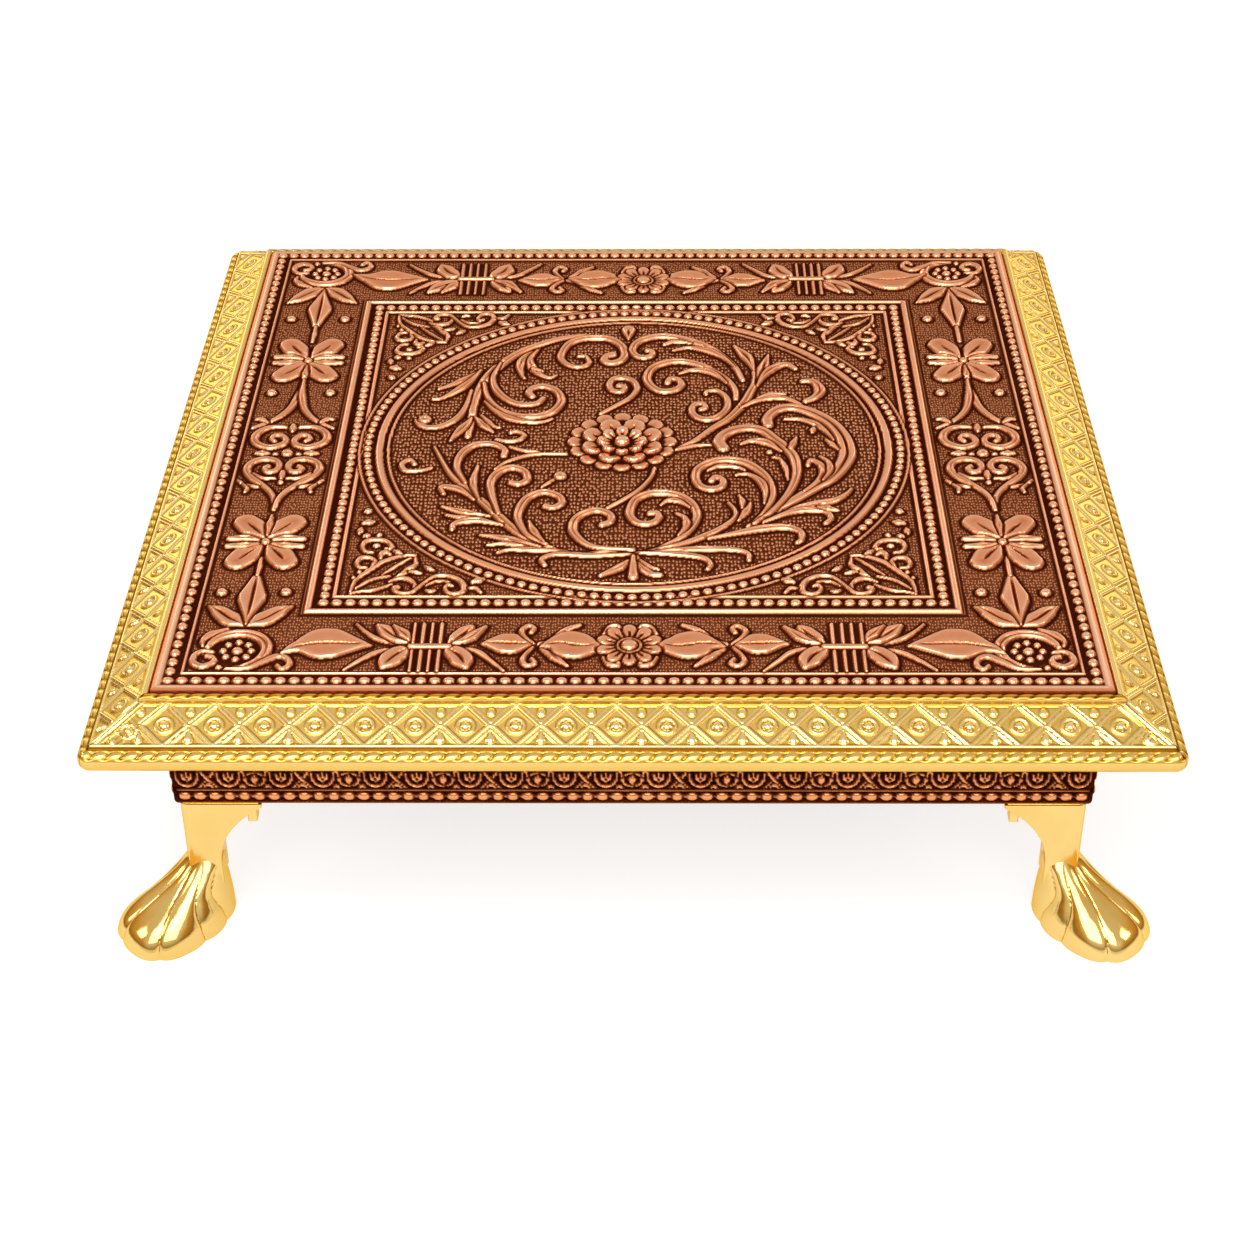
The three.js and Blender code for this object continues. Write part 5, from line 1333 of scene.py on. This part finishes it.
# An outline set at each of some heights.
def raisedRing(outline, z):
    return np.column_stack([outline, np.full(len(outline), z)])


# Upper leg: an angle of two faces with a square column in its corner. The ears' reach and height follow
# one curve of the second degree from the ankle over the bend.
def legColumn():
    near, waist, ear, ankle = [legs[key] for key in ("inset", "waist", "ear", "ankle")]
    t = np.linspace(0, 1, 25)
    reach = (1 - t) ** 2 * waist + 2 * t * (1 - t) * (waist + 0.6) + t ** 2 * ear
    height = (1 - t) ** 2 * ankle + 2 * t * (1 - t) * legs["bend"] + t ** 2 * legs["earBottom"]
    reach = np.concatenate([[waist, waist], reach, [ear, ear, ear - 0.3]])
    height = np.concatenate([[ankle * 0.6, ankle * 0.85], height,
                             [legs["earBottom"] + 0.5, legs["top"] - 0.3, legs["top"]]])
    radii = [legs["cornerRadius"]] + [legs["edgeRadius"]] * 7
    rings = []
    for far, z in zip(reach, height):
        plate, block = near + legs["earThickness"], min(near + legs["column"], far - 0.02)
        outline = [(near, near), (far, near), (far, plate), (block, plate), (block, block), (plate, block),
                   (plate, far), (near, far)]
        rings.append(raisedRing(roundedCorners(outline, radii, 5), z))
    centre = [near + 2.3] * 2
    return np.array(rings), [*centre, height[0]], [*centre, height[-1]]


# A flat plate: one outline with rounded corners at two heights.
def legPlate(outline, bottom, top, centre, radius=0.5):
    outline = roundedCorners(outline, [radius] * len(outline))
    rings = np.array([raisedRing(outline, bottom), raisedRing(outline, top)])
    return rings, [*centre, bottom], [*centre, top]


# Paw: each ring is a rounded oval whose reach shrinks at the grooves between the toes, and whose
# middle drifts from the foot's to the column's.
def pawShell():
    rows = throughRows(pawRings, 6)
    height, front, rear, width, drift, groove = [rows[:, k][:, None] for k in range(6)]
    angle = fullTurn(240 if fine else 96)[None, :]
    c, s = np.cos(angle), np.sin(angle)
    reach = np.where(c > 0, paw["front"] * front, paw["rear"] * rear)
    power = np.where(c > 0, 2.6, 2.0)
    radius = (abs(c / reach) ** power + abs(s / (paw["halfWidth"] * width)) ** power) ** (-1 / power)
    turn = np.degrees(angle)
    near = np.full(np.broadcast_shapes(turn.shape, drift.shape), 180.0)
    for foot, top in zip(paw["grooveFeet"], paw["grooveTops"]):
        place = foot + (top - foot) * drift
        near = np.minimum(near, abs((turn - place + 180) % 360 - 180))
    lobe = np.sqrt(1 - (1 - np.clip(near / paw["spread"], 0, 1)) ** 2)
    radius = radius - paw["groove"] * groove * (1 - lobe)
    columnMiddle = -(legs["inset"] + legs["waist"]) / math.sqrt(2)
    out = paw["middle"] + (columnMiddle - paw["middle"]) * drift + c * radius
    across = s * radius
    x, y = -(out + across) / math.sqrt(2), -(out - across) / math.sqrt(2)
    rings = np.stack([x, y, height * legs["ankle"] + 0 * x], axis=-1)[:, ::-1]
    return rings, rings[0].mean(axis=0), rings[-1].mean(axis=0)


# The leg is one casting of five shells: column with ears, seat plate, paw and a lug behind each ear. It
# is turned to each corner, every second one from its mirror image.
def buildLegs(material):
    inner, far = legs["inset"] + legs["seatInset"], legs["ear"] - legs["seatInset"]
    lugBottom, lugTop = legs["lugBottom"], legs["top"] - 0.5
    plate = [(inner, inner), (far, inner), legs["plateCut"], legs["plateCut"][::-1], (inner, far)]
    (x0, x1), (y0, y1) = legs["lugAlong"], legs["lugAcross"]
    lug, lugMiddle = [(x0, y0), (x1, y0), (x1, y1), (x0, y1)], ((x0 + x1) / 2, (y0 + y1) / 2)
    shells = [legColumn(),
              legPlate(plate, legs["height"] - legs["plateThickness"], legs["height"], (10, 10)),
              pawShell(),
              legPlate(lug, lugBottom, lugTop, lugMiddle),
              legPlate([(y, x) for x, y in lug[::-1]], lugBottom, lugTop, lugMiddle[::-1])]
    pointSets, faceSets, first = [], [], 0
    for rings, low, high in shells:
        points, grid, fans = loft(rings, low, high, first)
        pointSets.append(points)
        faceSets += [grid, fans]
        first += len(points)
    points = np.vstack(pointSets) + [-legs["corner"], -legs["corner"], 0]
    mirrored = points[:, [1, 0, 2]], [faces[:, ::-1] for faces in faceSets]
    for index, corner in enumerate(corners):
        shape, faces = mirrored if index % 2 else (points, faceSets)
        makePiece("leg_" + corner + "_casting", turned(shape, index), faces, material,
                  "leg_" + corner, smoothAngle=38)
    print("legs built")


# Finishes. Colours are by tone, from dark to pale: on the copper from patina to rubbed metal, with a painted
# highlight at the palest, and on the brass from painted shade to painted highlight. rough is from dark to
# bright, and bare says over which tones the patina gives way to bare metal. punch is the grain of the punched
# ground, and its tone paints the dots paler, a painted highlight.
# Copper: its palest colour, near cream, is taken by the rubbed edges as a painted highlight on the rubbed
# metal, and the punch tone paints each punched dot paler, a painted highlight.
copperLook = {
    "colors": [(0.0, (0.028, 0.0042, 0.0015)), (0.2, (0.080, 0.018, 0.006)), (0.4, (0.28, 0.088, 0.034)),
               (0.68, (0.80, 0.30, 0.14)), (1.0, (0.98, 0.60, 0.41))],
    "edgeColor": (0.97, 0.7, 0.55),
    "rough": (0.6, 0.22),
    "bare": (0.12, 0.37),
    "mottleScale": 55.0,
    "mottle": 0.14,
    "grain": 0.08,
    "grainHeight": 0.02,
    "punch": {"flat": True, "stretch": (1.0, 0.58, 1.0), "scale": 690.0, "scatter": 0.5, "inside": 0.08,
              "outside": 0.42, "tone": 0.95, "height": 0.5},
}
# Apron copper: darker than the panel's copper, for its patina and for painted shade under the top's overhang;
# its punch marks are painted a little paler, a painted highlight.
apronLook = {
    "colors": [(0.0, (0.008, 0.0011, 0.0004)), (0.25, (0.028, 0.0045, 0.0015)), (0.5, (0.085, 0.017, 0.005)),
               (0.75, (0.27, 0.068, 0.018)), (1.0, (0.79, 0.33, 0.135))],
    "edgeColor": (0.9, 0.5, 0.3),
    "rough": (0.6, 0.25),
    "bare": (0.15, 0.4),
    "mottleScale": 70.0,
    "mottle": 0.25,
    "grain": 0.15,
    "grainHeight": 0.03,
    "punch": {"flat": False, "stretch": (1.0, 1.0, 1.0), "scale": 1300.0, "scatter": 0.5, "inside": 0.15,
              "outside": 0.4, "tone": 0.3, "height": 0.15},
}
# Brass: its darker tones are painted shade and its palest a painted highlight.
brassLook = {
    "colors": [(0.0, (0.11, 0.037, 0.002)), (0.3, (0.42, 0.19, 0.015)), (0.6, (0.74, 0.47, 0.11)),
               (0.85, (0.88, 0.61, 0.21)), (1.0, (0.95, 0.71, 0.33))],
    "edgeColor": (0.95, 0.75, 0.38),
    "rough": (0.42, 0.17),
    "bare": None,
    "mottleScale": 45.0,
    "mottle": 0.12,
    "grain": 0.06,
    "grainHeight": 0.02,
    "punch": None,
}
castLook = {
    "colors": [(0.3, (0.79, 0.52, 0.15)), (0.7, (0.87, 0.62, 0.23))],
    "edgeColor": (0.95, 0.72, 0.33),
    "rough": (0.07, 0.17),
    "cloudScale": 30.0,
    "streakScale": (900.0, 900.0, 60.0),
    "bump": 0.015,
}
screwLook = {
    "colors": [(0.3, (0.50, 0.33, 0.10)), (0.7, (0.72, 0.52, 0.22))],
    "edgeColor": (0.95, 0.75, 0.38),
    "rough": (0.25, 0.45),
    "cloudScale": 120.0,
    "streakScale": (300.0, 300.0, 300.0),
    "bump": 0.02,
}
boardLook = {
    "colors": [(0.3, (0.16, 0.075, 0.028)), (0.7, (0.38, 0.21, 0.09))],
    "rough": (0.8, 0.6),
    "stretch": (1.0, 8.0, 8.0),
}
railLook = {
    "colors": [(0.3, (0.12, 0.055, 0.022)), (0.7, (0.30, 0.155, 0.065))],
    "rough": (0.8, 0.6),
    "stretch": (6.0, 6.0, 1.6),
}


# Cast or turned brass: noise shifts its colour a little and streaks its polish along one axis.
def plainBrass(name, look):
    material, tree, shader = newMaterial(name)
    place = objectPlace(tree)
    cloud = noiseNode(tree, place, look["cloudScale"], 5.0)
    streak = noiseNode(tree, stretchNode(tree, place, look["streakScale"]), 1.0, 3.0)
    both = mathNode(tree, "MULTIPLY_ADD", cloud, 0.5, mathNode(tree, "MULTIPLY", streak, 0.5))
    tree.links.new(rampNode(tree, cloud, look["colors"]), shader.inputs["Base Color"])
    tree.links.new(spreadNode(tree, both, 0.3, 0.7, *look["rough"]), shader.inputs["Roughness"])
    addBump(tree, shader, streak, look["bump"] * mm)
    shader.inputs["Metallic"].default_value = 1.0
    shader.inputs["Specular Tint"].default_value = (*look["edgeColor"], 1)
    return material


# Wood: long stretched noise for the grain, with finer pores in it.
def plainWood(name, look):
    material, tree, shader = newMaterial(name)
    stretched = stretchNode(tree, objectPlace(tree), look["stretch"])
    grain, pores = noiseNode(tree, stretched, 18.0, 8.0, 0.6), noiseNode(tree, stretched, 160.0, 2.0)
    both = mathNode(tree, "MULTIPLY_ADD", grain, 0.75, mathNode(tree, "MULTIPLY", pores, 0.25))
    tree.links.new(rampNode(tree, both, look["colors"]), shader.inputs["Base Color"])
    tree.links.new(spreadNode(tree, both, 0.3, 0.7, *look["rough"]), shader.inputs["Roughness"])
    addBump(tree, shader, both, 0.3 * mm, 0.6)
    return material


# Camera found from the corners of the copper panel and its ring in the photograph; in metres, degrees
# and mm.
camera = {"place": (0.005846, -0.825467, 0.606564), "pitch": 35.6736, "yaw": 0.6447, "roll": 0.3427,
          "lens": 68.633, "sensor": 36.0}
floorLook = {"size": 60.0, "color": (0.30, 0.305, 0.315), "rough": 0.8, "glow": 0.76}
# Sky: levels are its colours by the sine of the height above the horizon. sides tint it far out to the
# left and the right, by the square of x, and only above the heights given last.
sky = {
    "levels": [(0.08, (0.96, 0.96, 0.96)), (0.13, (0.36, 0.30, 0.21)), (0.2, (0.46, 0.40, 0.30)),
               (0.38, (0.72, 0.68, 0.60)), (0.6, (0.87, 0.87, 0.86)), (0.8, (0.72, 0.69, 0.61)),
               (1.0, (0.74, 0.70, 0.62))],
    "sides": [(0.3, (1.0, 1.0, 1.0)), (0.6, (0.78, 0.50, 0.16))],
    "sidesFrom": (0.08, 0.16),
}
# Rectangular lamps: place in metres, size across and down, power in watts. All aim at one point.
lampAim = (0, 0, 0.05)
lamps = {
    "softbox_front": {"place": (-0.1, -1.05, 1.4), "size": (1.7, 1.15), "power": 18.5},
    "key_front": {"place": (-0.25, -0.75, 1.55), "size": (0.3, 0.3), "power": 4.5},
    "softbox_back_left": {"place": (-0.95, 1.35, 0.55), "size": (0.5, 0.4), "power": 1.4},
    "softbox_back_right": {"place": (0.95, 1.35, 0.55), "size": (0.5, 0.4), "power": 1.1},
    "softbox_left": {"place": (-1.3, -0.25, 1.0), "size": (0.45, 0.45), "power": 2.4},
    "softbox_right": {"place": (1.3, -0.25, 1.0), "size": (0.45, 0.45), "power": 2.4},
}


# Stands an object at a place, its own axes along three given directions.
def standAt(made, place, axes):
    made.matrix_world = Matrix.Translation(place) @ Matrix(axes).transposed().to_4x4()


# Camera: a level one, turned by its yaw, tipped down by its pitch and rolled about its own line of sight.
def buildCamera():
    pitch, yaw, roll = [math.radians(camera[key]) for key in ("pitch", "yaw", "roll")]
    right = np.array([math.cos(yaw), math.sin(yaw), 0])
    level = np.array([-math.sin(yaw), math.cos(yaw), 0])
    up = np.array([0, 0, 1.0])
    ahead = level * math.cos(pitch) - up * math.sin(pitch)
    down = -(up * math.cos(pitch) + level * math.sin(pitch))
    data = bpy.data.cameras.new("camera")
    data.lens = camera["lens"]
    data.sensor_width = camera["sensor"]
    data.sensor_fit = "HORIZONTAL"
    data.clip_start = 0.01
    eye = addObject("camera", data)
    standAt(eye, camera["place"], [right * math.cos(roll) + down * math.sin(roll),
                                   right * math.sin(roll) - down * math.cos(roll), -ahead])
    bpy.context.scene.camera = eye


# Sky: the product of the colours by height and of the tint by the square of x.
def buildSky():
    world = bpy.data.worlds.new("studio")
    bpy.context.scene.world = world
    world.use_nodes = True
    tree = world.node_tree
    direction = addNode(tree, "ShaderNodeTexCoord").outputs["Generated"]
    part = addNode(tree, "ShaderNodeSeparateXYZ", {"Vector": direction}).outputs
    clear = spreadNode(tree, part["Z"], *sky["sidesFrom"], 0.0, 1.0)
    sideways = mathNode(tree, "MULTIPLY", mathNode(tree, "MULTIPLY", part["X"], part["X"]), clear)
    product = addNode(tree, "ShaderNodeVectorMath", {0: rampNode(tree, part["Z"], sky["levels"]),
                                                     1: rampNode(tree, sideways, sky["sides"])},
                      operation="MULTIPLY")
    tree.links.new(product.outputs["Vector"], tree.nodes["Background"].inputs["Color"])


# Lamps: each looks along the line from its place to the aim, level from side to side.
def buildLamps():
    for name, lamp in lamps.items():
        data = bpy.data.lights.new(name, "AREA")
        data.shape = "RECTANGLE"
        data.energy = lamp["power"]
        data.size, data.size_y = lamp["size"]
        back = np.array(lamp["place"]) - lampAim
        back /= np.linalg.norm(back)
        side = np.cross((0, 0, 1.0), back)
        side /= np.linalg.norm(side)
        standAt(addObject(name, data), lamp["place"], [side, np.cross(back, side), back])


# Floor: one square that glows a little, so that it stays white under the table's shadow.
def buildFloor():
    material, _, shader = newMaterial("floor")
    shader.inputs["Base Color"].default_value = (*floorLook["color"], 1)
    shader.inputs["Roughness"].default_value = floorLook["rough"]
    shader.inputs["Emission Color"].default_value = (1, 1, 1, 1)
    shader.inputs["Emission Strength"].default_value = floorLook["glow"]
    h = floorLook["size"] / 2
    mesh = bpy.data.meshes.new("floor")
    mesh.from_pydata([(-h, -h, 0), (h, -h, 0), (h, h, 0), (-h, h, 0)], [], [(0, 1, 2, 3)])
    mesh.materials.append(material)
    addObject("floor", mesh)


# Gives each node of the frame the first finish whose word is in its name.
def dressNodes(finishes):
    for name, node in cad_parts.items():
        for word, material in finishes:
            if word in name:
                node.data.materials.clear()
                node.data.materials.append(material)
                break


buildCamera()
buildSky()
buildLamps()
buildFloor()
print("camera, light and floor set")
buildPanel(embossedMetal("embossed_copper", copperLook))
buildBrassEdge(embossedMetal("embossed_brass", brassLook))
buildApron(embossedMetal("apron_copper", apronLook))
buildLegs(plainBrass("cast_brass", castLook))
boardWood, railWood = plainWood("board_wood", boardLook), plainWood("rail_wood", railLook)
screwBrass = plainBrass("fastener_brass", screwLook)
dressNodes([("screw", screwBrass), ("tack", screwBrass), ("rail", railWood), ("block", railWood),
            ("board", boardWood), ("moulding", boardWood)])
bpy.context.scene.view_settings.view_transform = "Standard"
print("table dressed")
